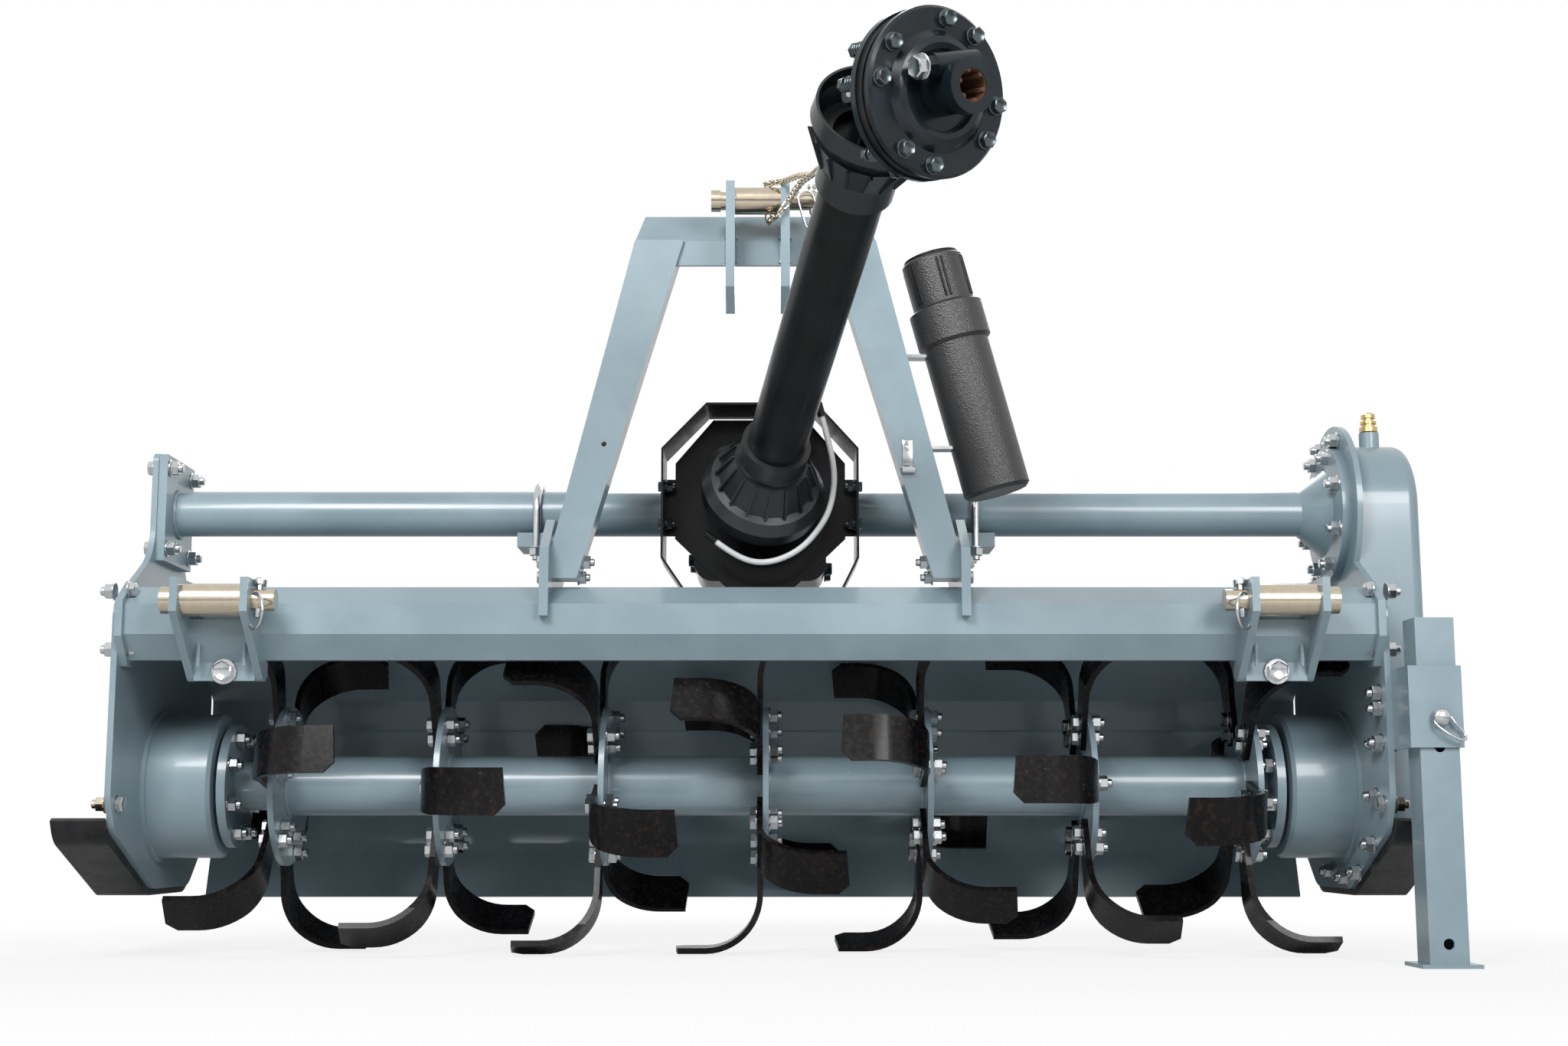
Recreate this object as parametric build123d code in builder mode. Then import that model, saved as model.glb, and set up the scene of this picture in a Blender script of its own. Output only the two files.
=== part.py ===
import math
import os

from build123d import *

os.makedirs("parts", exist_ok=True)

# Rotary tiller for a three-point hitch, in millimetres.
# X is to the right seen from the front, Y rearwards, Z up, with the origin on the floor.
# Sizes named below are from the midplane between the side plates (x) and the rotor axis (y, z).

MID_X = -9.0
FIT = 0.3

# Tines and the space that they sweep
TINE_T = 8.0
TINE_ROOT_R = 66.0
TINE_TIP_R = 230.0
TINE_BEND_R = 76.0
TINE_REACH = 118.0
TINE_SHANK_W = 42.0
TINE_BLADE_W = 62.0
TINE_TIP_CUT = 14.0
TINES_PER_SIDE = 3
TINE_FIRST_DEG = 11.0
TINE_STEP_DEG = -14.0
HOOD_CLEAR = 26.0
BOARD_CLEAR = 42.0
SWEEP_R = math.hypot(TINE_TIP_R, TINE_BLADE_W / 2)

ROTOR_Y = 323.0
ROTOR_Z = SWEEP_R + 0.4

# Side plates
PLATE_T = 8.0
PLATE_IN = 830.0
PLATE_OUT = PLATE_IN + PLATE_T
PLATE_FRONT = -230.0
PLATE_REAR = 240.0
PLATE_BOTTOM = -142.0
NECK_FRONT = -84.0
NECK_REAR = 58.0

# Rotor
TUBE_R = 41.5
TUBE_WALL = 6.0
FLANGE_R = 111.0
FLANGE_T = 8.0
FLANGE_COUNT = 7
FLANGE_PITCH = 224.0
FLANGE_FIRST = -652.0
STUB_R = 34.0
STUB_FLANGE_R = 86.0
STUB_FLANGE_T = 12.0
STUB_DEPTH = 26.0
STUB_PLUG = 40.0
JOURNAL_R = 25.0
JOURNAL_FIT = 0.05
JOURNAL_DEPTH = 60.0

# Bearing drums at the plates
DRUM_R = 100.0
DRUM_LEN = 92.0
DRUM_EDGE = 5.0
DRUM_RIM_R = 106.0
DRUM_RIM_T = 6.0
RUN_GAP = 6.0

# Hood, front beam and tailboard
HOOD_T = 4.0
HOOD_TOP = TINE_TIP_R + HOOD_CLEAR
BEAM_FRONT = -240.0
BEAM_REAR = -176.0
BEAM_TOP = HOOD_TOP + 2.0
BEAM_BOTTOM = BEAM_TOP - 98.0
BEAM_WALL = 6.0
BEAM_CAP_T = 10.0
BEAM_CAP_EDGE = 8.0
HINGE_Y = TINE_TIP_R + BOARD_CLEAR - 2.0
HINGE_Z = 112.0
HINGE_R = 7.0
KNUCKLE_R = 12.0
KNUCKLES = 4
KNUCKLE_PITCH = 420.0
KNUCKLE_LEN = 60.0
LOOP_PITCH = 378.0
HOOD_END = PLATE_IN - FIT
BOARD_T = 4.0
BOARD_BOTTOM_Z = -160.0
BOARD_FOLD_Z = -95.0
BOARD_BOTTOM_Y = math.sqrt((TINE_TIP_R + BOARD_CLEAR) ** 2 - BOARD_BOTTOM_Z**2)
BOARD_FOLD_Y = BOARD_BOTTOM_Y + 22.0
BOARD_HALF = PLATE_IN - 8.0
BOARD_GAP = 0.3

# Axle tubes between the side plates and the gearbox
AXLE_Y = -14.0
AXLE_Z = HOOD_TOP + 129.0
AXLE_R = 32.0
AXLE_WALL = 5.0
AXLE_FLANGE_T = 12.0
AXLE_PLATE_W = 134.0
AXLE_PLATE_H = 150.0
AXLE_BELL_R = 62.0
AXLE_BELL_LEN = 40.0
AXLE_ROUND_R = 96.0
NECK_TOP_LEFT = AXLE_Z + 77.0
NECK_TOP_RIGHT = AXLE_Z + 125.0
NECK_FLARE = AXLE_Z - 67.0

# Gearbox and its guard
GEARBOX_X = 12.0
GEARBOX_HALF = 92.0
AXLE_RIGHT_END = GEARBOX_X + GEARBOX_HALF
GEARBOX_FRONT = -70.0
GEARBOX_REAR = 74.0
GEARBOX_BOTTOM = AXLE_Z - 103.0
GEARBOX_TOP = AXLE_Z + 93.0
INPUT_NOSE_R = 36.0
INPUT_NOSE_LEN = 10.0
GUARD_FRONT = -172.0
GUARD_HALF = 134.0
GUARD_TOP = AXLE_Z + 130.0
GUARD_SIDE_TOP = AXLE_Z + 67.0
GUARD_SIDE_BOTTOM = AXLE_Z - 83.0
GUARD_BOTTOM = AXLE_Z - 127.0
GUARD_T = 3.0
GUARD_PLATE_HALF = 119.0
GUARD_PLATE_FOOT = 44.0
GUARD_TAB_H = 80.0

# Driveline: the lower joint's centre, the shaft's direction and its length
JOINT_Y = -150.0
DRIVE_PITCH = 27.7
DRIVE_YAW = 10.5
DRIVE_LEN = 726.0
SHIELD_R = 38.5
SHIELD_WALL = 3.0
INNER_SHIELD_R = SHIELD_R - SHIELD_WALL - FIT
SHAFT_R = 24.0
INNER_SHAFT_R = 17.0
YOKE_REACH = 50.0
YOKE_EAR_IN = 24.0
YOKE_EAR_OUT = 38.0
YOKE_EAR_R = 19.0
YOKE_HUB_R = 26.0
YOKE_HUB_LEN = 20.0
YOKE_END = YOKE_REACH + YOKE_HUB_LEN
CROSS_R = 12.0
CROSS_CORE = 16.0
CROSS_EDGE = 2.0
CLUTCH_TURN = 30.3
CLUTCH_TILT = 31.6
LOWER_BELL_R = 84.0
UPPER_BELL_R = 71.0
BELL_RIBS = 16
BELL_WALL = 3.0
BELL_WEB_AT = 60.0
BELL_WEB_T = 4.0
MOUTH_AT = 6.0
COLLAR_R = 46.0
COLLAR_AT = 98.0
COLLAR_END = 124.0
RIB_FROM = 46.0
RIB_TO = 86.0
RIB_T = 3.0
RIB_H = 5.0
SHIELD_START = BELL_WEB_AT + BELL_WEB_T
SHIELD_END = DRIVE_LEN - 130.0

# Slip clutch, as distances from the upper joint and radii
CLUTCH_R = 90.0
CLUTCH_BACK = 70.0
CLUTCH_PLATE_T = 8.0
CLUTCH_STACK_T = 18.0
DISC_T = 6.0
CLUTCH_FRONT = CLUTCH_BACK + CLUTCH_PLATE_T + CLUTCH_STACK_T
CLUTCH_WELL_R = 41.0
HUB_R = 26.0
HUB_BORE_R = 17.5
HUB_AT = CLUTCH_FRONT + 8.0
HUB_LEN = 56.0
PINCH_AT = CLUTCH_FRONT + 38.0
PINCH_OFF = 25.0
PINCH_R = 9.0
PINCH_TURN = 33.5

# Mast
MAST_X = 6.0
MAST_FRONT = -222.0
MAST_DEPTH = 46.0
MAST_TOP = AXLE_Z + 390.0
MAST_CROSS_BOTTOM = MAST_TOP - 80.0
MAST_LEG_TOP = MAST_TOP - 46.0
MAST_LEG_FOOT = HOOD_TOP + 12.0
MAST_WALL = 6.0
CROSS_TOP_OUT = 152.0
CROSS_BEND = 10.0
CROSS_REAR = MAST_FRONT + MAST_DEPTH + 14.0
LEG_TOP_OUT = 163.0
LEG_TOP_IN = 97.0
LEG_FOOT_OUT = 270.0
LEG_FOOT_IN = 236.0
LEG_FOOT_STRAIGHT = 40.0
CARRIER_T = 12.0
CARRIER_FRONT = BEAM_FRONT - 14.0
CARRIER_FOOT = BEAM_TOP - 43.0
CARRIER_TOP = AXLE_Z - AXLE_R - FIT
CARRIER_REAR = AXLE_Y + 40.0
CARRIER_EDGE = 20.0
CARRIER_FRONT_TOP = AXLE_Z - 80.0
PAD_W = 54.0
PAD_HALF = 40.0
LUG_T = 12.0
LUG_GAP = 61.0
LUG_X = 9.5
LUG_TOP = MAST_TOP + 20.0
LUG_BOTTOM = MAST_TOP - 155.0
LUG_FRONT = -276.0
LUG_WELD = 0.6
TOP_PIN_Y = -250.0
TOP_PIN_Z = MAST_TOP
TOP_PIN_R = 12.7
TOP_PIN_END = 42.0
TOP_HEAD_R = 15.0
TOP_HEAD_T = 13.0
TOP_HEAD_GAP = 7.0
TOP_SLEEVE_R = 18.5

# Lower hitch
HITCH_X = 690.0
HITCH_HALF = 40.0
HITCH_T = 10.0
HITCH_FRONT = -317.0
HITCH_TOP = BEAM_TOP
HITCH_BOTTOM = BEAM_TOP - 130.0
HITCH_BEND = 14.0
HITCH_NOSE = 44.0
LOWER_PIN_Y = -290.0
LOWER_PIN_Z = BEAM_TOP - 27.0
LOWER_PIN_R = 14.0
LOWER_PIN_END = 30.0
LOWER_HEAD_R = 18.0
LOWER_HEAD_T = 16.0
LOWER_SLEEVE_R = 21.0

# Side transmission case
CASE_T = 88.0
CASE_LOW_R = 112.0
CASE_TOP_R = 96.0
CASE_EDGE = 16.0
BREATHER_R = 14.0
BREATHER_H = 24.0
BREATHER_X = PLATE_OUT + 48.0

# Skids
SKID_W = 70.0
SKID_T = 8.0
SKID_WEB_T = 6.0
SKID_BEND = 40.0

# Parking stand
STAND_BRACKET_T = 8.0
STAND_Y = -272.0
LEG_W = 50.0
LEG_WALL = 4.0
LEG_TOP = BEAM_TOP - 50.0
FOOT_W = 76.0
FOOT_T = 5.0
SLEEVE_W = 60.0
SLEEVE_TOP = BEAM_TOP - 112.0
SLEEVE_BOTTOM = SLEEVE_TOP - 104.0
SLEEVE_GAP = FIT
STAND_BRACKET_LEN = 134.0
STAND_X = PLATE_OUT + STAND_BRACKET_T + SLEEVE_W / 2
STAND_PIN_R = 7.0
STAND_PIN_Z = SLEEVE_BOTTOM + 38.0
LEG_HOLES = (STAND_PIN_Z, SLEEVE_BOTTOM + 1.0, SLEEVE_BOTTOM - 245.0)

# Tube that holds the manual, and its tabs
CAN_R = 45.0
CAN_LEN = 335.0
CAN_BAND_R = 50.0
CAN_BAND_AT = 209.0
CAN_BAND_LEN = 52.0
CAN_CAP_R = 41.5
CAN_EDGE = 5.0
CAN_X = 331.0
CAN_Y = -200.0
CAN_Z = AXLE_Z
CAN_LEAN = -14.9
CAN_TABS = (60.0, 190.0)
CAN_TAB_W = 24.0
CAN_TAB_T = 4.0


def side_plane(x=0.0):
    """Side view at x from the midplane: local x is rearwards and local y is up, from the rotor axis."""
    return Plane(origin=(MID_X + x, ROTOR_Y, ROTOR_Z), x_dir=(0, 1, 0), z_dir=(1, 0, 0))


def front_plane(y=0.0):
    """Front view at y from the rotor axis, facing forwards: local x is X and local y is up."""
    return Plane(origin=(MID_X, ROTOR_Y + y, ROTOR_Z), x_dir=(1, 0, 0), z_dir=(0, -1, 0))


def top_plane(z=0.0):
    """Top view at z above the rotor axis: local x is X and local y is rearwards."""
    return Plane(origin=(MID_X, ROTOR_Y, ROTOR_Z + z), x_dir=(1, 0, 0), z_dir=(0, 0, 1))


def finish(part, name):
    """Label a finished piece and write it."""
    part.label = name
    export_step(part, f"parts/{name}.step")


def plate_face(top):
    """Side plate's face: neck, shoulders with long bends, and the bottom that follows the skid."""
    corners = [
        (NECK_FRONT, top, 12),
        (NECK_FRONT, NECK_FLARE, 70),
        (PLATE_FRONT, BEAM_TOP - 22, 34),
        (PLATE_FRONT, -20, 24),
        (PLATE_FRONT + 24, -64, 40),
        (-20, PLATE_BOTTOM, 60),
        (150, PLATE_BOTTOM, 50),
        (PLATE_REAR, -70, 30),
        (PLATE_REAR, HINGE_Z + 38, 40),
        (NECK_REAR, NECK_FLARE, 70),
        (NECK_REAR, top, 12),
    ]
    with BuildSketch(Plane.XY) as face:
        Polygon(*[(y, z) for y, z, bend in corners], align=None)
        for y, z, bend in corners:
            fillet(face.vertices().sort_by_distance((y, z, 0))[0], bend)
    return face.sketch


# Side plates, joined to nothing but bolts
with BuildPart() as side_plate_left:
    with BuildSketch(side_plane(-PLATE_OUT)):
        add(plate_face(NECK_TOP_LEFT))
    extrude(amount=PLATE_T)
finish(side_plate_left.part, "side_plate_left")

with BuildPart() as side_plate_right:
    with BuildSketch(side_plane(PLATE_IN)):
        add(plate_face(AXLE_Z + 40))
        with Locations((AXLE_Y, AXLE_Z)):
            Circle(NECK_TOP_RIGHT - AXLE_Z)
    extrude(amount=PLATE_T)
finish(side_plate_right.part, "side_plate_right")

# Front beam: a folded tube with a slanted top and bottom, and a cap at each plate
beam_profile = [
    (BEAM_REAR, BEAM_TOP),
    (BEAM_FRONT + 38, BEAM_TOP),
    (BEAM_FRONT, BEAM_TOP - 26),
    (BEAM_FRONT, BEAM_BOTTOM + 32),
    (BEAM_FRONT + 28, BEAM_BOTTOM),
    (BEAM_REAR - 20, BEAM_BOTTOM),
    (BEAM_REAR, BEAM_BOTTOM + 20),
]
with BuildPart() as front_beam:
    with BuildSketch(side_plane(-PLATE_IN)) as beam_section:
        Polygon(*beam_profile, align=None)
        offset(amount=-BEAM_WALL, mode=Mode.SUBTRACT)
    extrude(amount=2 * PLATE_IN)
    for cap_x in (-PLATE_IN, PLATE_IN - BEAM_CAP_T):
        with BuildSketch(side_plane(cap_x)) as beam_cap:
            Polygon(*beam_profile, align=None)
            offset(amount=BEAM_CAP_EDGE, kind=Kind.INTERSECTION)
            with Locations((BEAM_REAR, BEAM_TOP)):
                Rectangle(2 * BEAM_CAP_EDGE, 4 * BEAM_CAP_EDGE, align=(Align.MIN, Align.CENTER), mode=Mode.SUBTRACT)
        extrude(amount=BEAM_CAP_T)
finish(front_beam.part, "front_beam")

# Hood: one folded sheet over the rotor, with the tailboard's knuckles along its rear edge
hood_line = [
    (BEAM_REAR, HOOD_TOP - HOOD_T),
    (108, HOOD_TOP - HOOD_T),
    (HINGE_Y - KNUCKLE_R - 9, HINGE_Z + 24),
    (HINGE_Y - KNUCKLE_R - 8, HINGE_Z - KNUCKLE_R - 10),
]
with BuildPart() as hood:
    with BuildSketch(side_plane(-HOOD_END)) as hood_section:
        with BuildLine() as hood_edge:
            Polyline(*hood_line)
        trace(line_width=HOOD_T)
    extrude(amount=2 * HOOD_END)
    for k in range(KNUCKLES):
        knuckle_x = (k - (KNUCKLES - 1) / 2) * KNUCKLE_PITCH - KNUCKLE_LEN / 2
        with BuildSketch(side_plane(knuckle_x)):
            with Locations((HINGE_Y, HINGE_Z)):
                Circle(KNUCKLE_R)
            Polygon(
                (HINGE_Y - KNUCKLE_R - 9, HINGE_Z + 22),
                (HINGE_Y - KNUCKLE_R - 8, HINGE_Z - 2),
                (HINGE_Y, HINGE_Z + KNUCKLE_R),
                align=None,
            )
            with Locations((HINGE_Y, HINGE_Z)):
                Circle(HINGE_R, mode=Mode.SUBTRACT)
        extrude(amount=KNUCKLE_LEN)
finish(hood.part, "hood")

with BuildPart() as hinge_rod:
    with BuildSketch(side_plane(-BOARD_HALF)):
        with Locations((HINGE_Y, HINGE_Z)):
            Circle(HINGE_R)
    extrude(amount=2 * BOARD_HALF)
finish(hinge_rod.part, "tailboard_hinge_rod")

with BuildPart() as tailboard:
    with BuildSketch(side_plane(-BOARD_HALF)) as board_section:
        with BuildLine() as board_edge:
            Polyline(
                (HINGE_Y, HINGE_Z - KNUCKLE_R - 4),
                (HINGE_Y - 2, 10),
                (BOARD_FOLD_Y, BOARD_FOLD_Z),
                (BOARD_BOTTOM_Y, BOARD_BOTTOM_Z),
            )
        trace(line_width=BOARD_T)
    extrude(amount=2 * BOARD_HALF)
    for k in range(KNUCKLES + 1):
        loop_x = (k - KNUCKLES / 2) * LOOP_PITCH - KNUCKLE_LEN / 2
        with BuildSketch(side_plane(loop_x)):
            with Locations((HINGE_Y, HINGE_Z)):
                Circle(KNUCKLE_R)
            with Locations((HINGE_Y, HINGE_Z - KNUCKLE_R)):
                Rectangle(BOARD_T * 2, KNUCKLE_R * 2)
            with Locations((HINGE_Y, HINGE_Z)):
                Circle(HINGE_R + BOARD_GAP, mode=Mode.SUBTRACT)
        extrude(amount=KNUCKLE_LEN)
finish(tailboard.part, "tailboard")

# Axle tubes, each with the flange that bolts to its side plate
with BuildPart() as axle_tube_left:
    with BuildSketch(side_plane(-PLATE_IN)):
        with Locations((AXLE_Y, AXLE_Z)):
            Rectangle(AXLE_PLATE_W, AXLE_PLATE_H)
    extrude(amount=AXLE_FLANGE_T)
    with BuildSketch(side_plane(-PLATE_IN)):
        with Locations((AXLE_Y, AXLE_Z)):
            Circle(AXLE_R)
    extrude(amount=PLATE_IN + GEARBOX_X - GEARBOX_HALF)
    with BuildSketch(side_plane(-PLATE_IN)):
        with Locations((AXLE_Y, AXLE_Z)):
            Circle(AXLE_R - AXLE_WALL)
    extrude(amount=PLATE_IN + GEARBOX_X - GEARBOX_HALF, mode=Mode.SUBTRACT)
finish(axle_tube_left.part, "axle_tube_left")

with BuildPart() as axle_tube_right:
    with BuildSketch(Plane(origin=(MID_X, ROTOR_Y + AXLE_Y, ROTOR_Z + AXLE_Z), x_dir=(1, 0, 0), z_dir=(0, -1, 0))):
        with BuildLine():
            Polyline(
                (AXLE_RIGHT_END, AXLE_R - AXLE_WALL),
                (AXLE_RIGHT_END, AXLE_R),
                (PLATE_IN - AXLE_BELL_LEN - 12, AXLE_R),
                (PLATE_IN - AXLE_BELL_LEN, AXLE_R + 10),
                (PLATE_IN - AXLE_FLANGE_T - 4, AXLE_BELL_R),
                (PLATE_IN - AXLE_FLANGE_T, AXLE_ROUND_R),
                (PLATE_IN, AXLE_ROUND_R),
                (PLATE_IN, AXLE_R - AXLE_WALL),
                close=True,
            )
        make_face()
    revolve(axis=Axis((MID_X, ROTOR_Y + AXLE_Y, ROTOR_Z + AXLE_Z), (1, 0, 0)))
finish(axle_tube_right.part, "axle_tube_right")

# Gearbox housing
with BuildPart() as gearbox:
    with BuildSketch(front_plane(GEARBOX_REAR)):
        with Locations((GEARBOX_X, (GEARBOX_BOTTOM + GEARBOX_TOP) / 2)):
            RectangleRounded(2 * GEARBOX_HALF, GEARBOX_TOP - GEARBOX_BOTTOM, 26)
    extrude(amount=GEARBOX_REAR - GEARBOX_FRONT)
    with BuildSketch(front_plane(GEARBOX_FRONT)):
        with Locations((GEARBOX_X, AXLE_Z)):
            Circle(INPUT_NOSE_R)
    extrude(amount=INPUT_NOSE_LEN)
finish(gearbox.part, "gearbox")

# Octagonal guard round the lower joint
guard_octagon = [
    (GEARBOX_X - 73, GUARD_TOP),
    (GEARBOX_X + 77, GUARD_TOP),
    (GEARBOX_X + GUARD_HALF, GUARD_SIDE_TOP),
    (GEARBOX_X + GUARD_HALF, GUARD_SIDE_BOTTOM),
    (GEARBOX_X + 112, GUARD_BOTTOM),
    (GEARBOX_X - 104, GUARD_BOTTOM),
    (GEARBOX_X - GUARD_HALF, GUARD_SIDE_BOTTOM),
    (GEARBOX_X - GUARD_HALF, GUARD_SIDE_TOP),
]
with BuildPart() as joint_guard:
    with BuildSketch(front_plane(GEARBOX_FRONT)) as guard_section:
        Polygon(*guard_octagon, align=None)
        offset(amount=-GUARD_T, mode=Mode.SUBTRACT)
    extrude(amount=GEARBOX_FRONT - GUARD_FRONT)
    with BuildSketch(front_plane(GEARBOX_FRONT)):
        Polygon(
            (GEARBOX_X - 66, GUARD_TOP - GUARD_T - 2),
            (GEARBOX_X + 66, GUARD_TOP - GUARD_T - 2),
            (GEARBOX_X + GUARD_PLATE_HALF, GUARD_SIDE_TOP - 4),
            (GEARBOX_X + GUARD_PLATE_HALF, AXLE_Z - 44),
            (GEARBOX_X + GUARD_PLATE_FOOT, GUARD_BOTTOM + GUARD_T + 8),
            (GEARBOX_X - GUARD_PLATE_FOOT, GUARD_BOTTOM + GUARD_T + 8),
            (GEARBOX_X - GUARD_PLATE_HALF, AXLE_Z - 44),
            (GEARBOX_X - GUARD_PLATE_HALF, GUARD_SIDE_TOP - 4),
            align=None,
        )
        with Locations((GEARBOX_X, AXLE_Z)):
            Rectangle(2 * GUARD_HALF - GUARD_T, GUARD_TAB_H)
        with Locations((GEARBOX_X, AXLE_Z)):
            Circle(60, mode=Mode.SUBTRACT)
    extrude(amount=GUARD_T)
finish(joint_guard.part, "joint_guard")

# Driveline geometry
pitch = math.radians(DRIVE_PITCH)
yaw = math.radians(DRIVE_YAW)
lower_joint = Vector(MID_X + GEARBOX_X, ROTOR_Y + JOINT_Y, ROTOR_Z + AXLE_Z)
drive_dir = Vector(math.sin(yaw), -math.cos(yaw) * math.cos(pitch), math.cos(yaw) * math.sin(pitch))
input_dir = Vector(0, -1, 0)
pitch_axis = Vector(1, 0, 0)
yaw_axis = Vector(0, math.sin(pitch), math.cos(pitch))
upper_joint = lower_joint + drive_dir * DRIVE_LEN


def turned(vector, axis, degrees):
    """A vector turned about an axis through the origin."""
    return vector.rotate(Axis((0, 0, 0), axis), degrees)


swing_axis = yaw_axis
mid_dir = turned(drive_dir, swing_axis, CLUTCH_TURN)
tilt_axis = swing_axis.cross(mid_dir).normalized()
clutch_dir = turned(mid_dir, tilt_axis, CLUTCH_TILT)


def yoke(centre, away, ear_axis, hub_len, hub_r=YOKE_HUB_R):
    """Forked yoke: two ears on ear_axis at the joint's centre, and a hub that runs along away."""
    ear_plane = Plane(origin=centre, x_dir=away, z_dir=ear_axis)
    hub_plane = Plane(origin=centre + away * YOKE_REACH, x_dir=ear_axis, z_dir=away)
    with BuildPart() as fork:
        with BuildSketch(ear_plane):
            Circle(YOKE_EAR_R)
            with Locations(((YOKE_REACH + 8) / 2, 0)):
                Rectangle(YOKE_REACH + 8, 2 * YOKE_EAR_R - 4)
        extrude(amount=YOKE_EAR_OUT, both=True)
        with BuildSketch(ear_plane):
            with Locations((YOKE_REACH / 2 - YOKE_EAR_R / 2, 0)):
                Rectangle(YOKE_REACH + YOKE_EAR_R, 4 * YOKE_EAR_R)
        extrude(amount=YOKE_EAR_IN, both=True, mode=Mode.SUBTRACT)
        with BuildSketch(hub_plane):
            Circle(hub_r)
        extrude(amount=hub_len)
        with BuildSketch(ear_plane):
            Circle(CROSS_R + 0.05)
        extrude(amount=YOKE_EAR_OUT, both=True, mode=Mode.SUBTRACT)
    return fork.part


def cross(centre, first_axis, second_axis):
    """Joint cross: two round trunnions at right angles and a core."""
    with BuildPart() as spider:
        for trunnion_axis, other in ((first_axis, second_axis), (second_axis, first_axis)):
            with BuildSketch(Plane(origin=centre, x_dir=other, z_dir=trunnion_axis)):
                Circle(CROSS_R)
            extrude(amount=YOKE_EAR_OUT, both=True)
        with BuildSketch(Plane(origin=centre, x_dir=first_axis, z_dir=second_axis)):
            Rectangle(2 * CROSS_CORE, 2 * CROSS_CORE)
        extrude(amount=CROSS_CORE, both=True)
        chamfer(spider.edges().filter_by(lambda e: e.geom_type == GeomType.LINE), CROSS_EDGE)
    return spider.part


finish(yoke(lower_joint, -input_dir, pitch_axis, YOKE_HUB_LEN), "input_yoke")
finish(cross(lower_joint, pitch_axis, yaw_axis), "cross_lower")
finish(yoke(lower_joint, drive_dir, yaw_axis, YOKE_HUB_LEN), "shaft_yoke_lower")
finish(yoke(upper_joint, -drive_dir, swing_axis, YOKE_HUB_LEN), "shaft_yoke_upper")
finish(cross(upper_joint, swing_axis, tilt_axis), "cross_upper")
finish(yoke(upper_joint, clutch_dir, tilt_axis, YOKE_HUB_LEN), "clutch_yoke")


def drive_plane(distance):
    """Plane across the shaft at a distance from the lower joint."""
    return Plane(origin=lower_joint + drive_dir * distance, x_dir=pitch_axis, z_dir=drive_dir)


def drive_tube(start, end, outer, inner=0.0):
    """Round tube or rod along the shaft."""
    with BuildPart() as tube:
        with BuildSketch(drive_plane(start)):
            Circle(outer)
            if inner > 0:
                Circle(inner, mode=Mode.SUBTRACT)
        extrude(amount=end - start)
    return tube.part


finish(drive_tube(YOKE_END, SHIELD_END - 20, SHAFT_R, INNER_SHAFT_R + FIT), "drive_shaft_outer")
finish(drive_tube(150.0, DRIVE_LEN - YOKE_END, INNER_SHAFT_R), "drive_shaft_inner")
finish(drive_tube(SHIELD_START, SHIELD_END, SHIELD_R, SHIELD_R - SHIELD_WALL), "shield_tube_lower")
finish(drive_tube(170.0, DRIVE_LEN - SHIELD_START, INNER_SHIELD_R, INNER_SHIELD_R - SHIELD_WALL), "shield_tube_upper")


def bell_guard(origin, away, mouth_r, mount_r):
    """Moulded bell over a yoke: cup, ribbed cone, collar on the tube and a web on the yoke's hub."""
    across = pitch_axis - away * away.dot(pitch_axis)
    outer_edge = [
        (MOUTH_AT, mouth_r - 2),
        (MOUTH_AT + 22, mouth_r),
        (RIB_FROM - 4, mouth_r - 10),
        (RIB_FROM, COLLAR_R + 14),
        (RIB_TO, COLLAR_R - 2),
        (COLLAR_AT - 4, COLLAR_R),
        (COLLAR_END, COLLAR_R),
    ]
    inner_edge = [(a, r - BELL_WALL) for a, r in reversed(outer_edge)]
    with BuildPart() as bell:
        with BuildSketch(Plane(origin=origin, x_dir=away, z_dir=away.cross(across.normalized()))):
            with BuildLine():
                Polyline(*outer_edge, *inner_edge, close=True)
            make_face()
        revolve(axis=Axis(origin, away))
        with BuildSketch(Plane(origin=origin + away * COLLAR_AT, x_dir=across.normalized(), z_dir=away)):
            Circle(COLLAR_R)
            Circle(mount_r, mode=Mode.SUBTRACT)
        extrude(amount=COLLAR_END - COLLAR_AT)
        with BuildSketch(Plane(origin=origin + away * BELL_WEB_AT, x_dir=across.normalized(), z_dir=away)):
            Circle(COLLAR_R + 8)
            Circle(YOKE_HUB_R, mode=Mode.SUBTRACT)
        extrude(amount=BELL_WEB_T)
        for panel_at, panel_r in ((RIB_FROM, COLLAR_R + 19), (RIB_TO, COLLAR_R + 4)):
            with BuildSketch(Plane(origin=origin + away * panel_at, x_dir=across.normalized(), z_dir=away)):
                RegularPolygon(panel_r, BELL_RIBS)
                Circle(COLLAR_R - 4, mode=Mode.SUBTRACT)
        loft()
        for k in range(BELL_RIBS):
            radial = turned(across.normalized(), away, 360 * k / BELL_RIBS)
            with BuildSketch(Plane(origin=origin, x_dir=away, z_dir=away.cross(radial))):
                Polygon(
                    (RIB_FROM, COLLAR_R + 14),
                    (RIB_FROM, COLLAR_R + 19 + RIB_H),
                    (RIB_TO, COLLAR_R + 4 + RIB_H / 2),
                    (RIB_TO, COLLAR_R + 1),
                    align=None,
                )
            extrude(amount=RIB_T / 2, both=True)
    return bell.part


finish(bell_guard(lower_joint, drive_dir, LOWER_BELL_R, SHIELD_R), "joint_bell_lower")
finish(bell_guard(upper_joint, -drive_dir, UPPER_BELL_R, INNER_SHIELD_R), "joint_bell_upper")


def clutch_plane(distance):
    """Plane across the clutch at a distance from the upper joint."""
    return Plane(origin=upper_joint + clutch_dir * distance, x_dir=tilt_axis, z_dir=clutch_dir)


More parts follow.
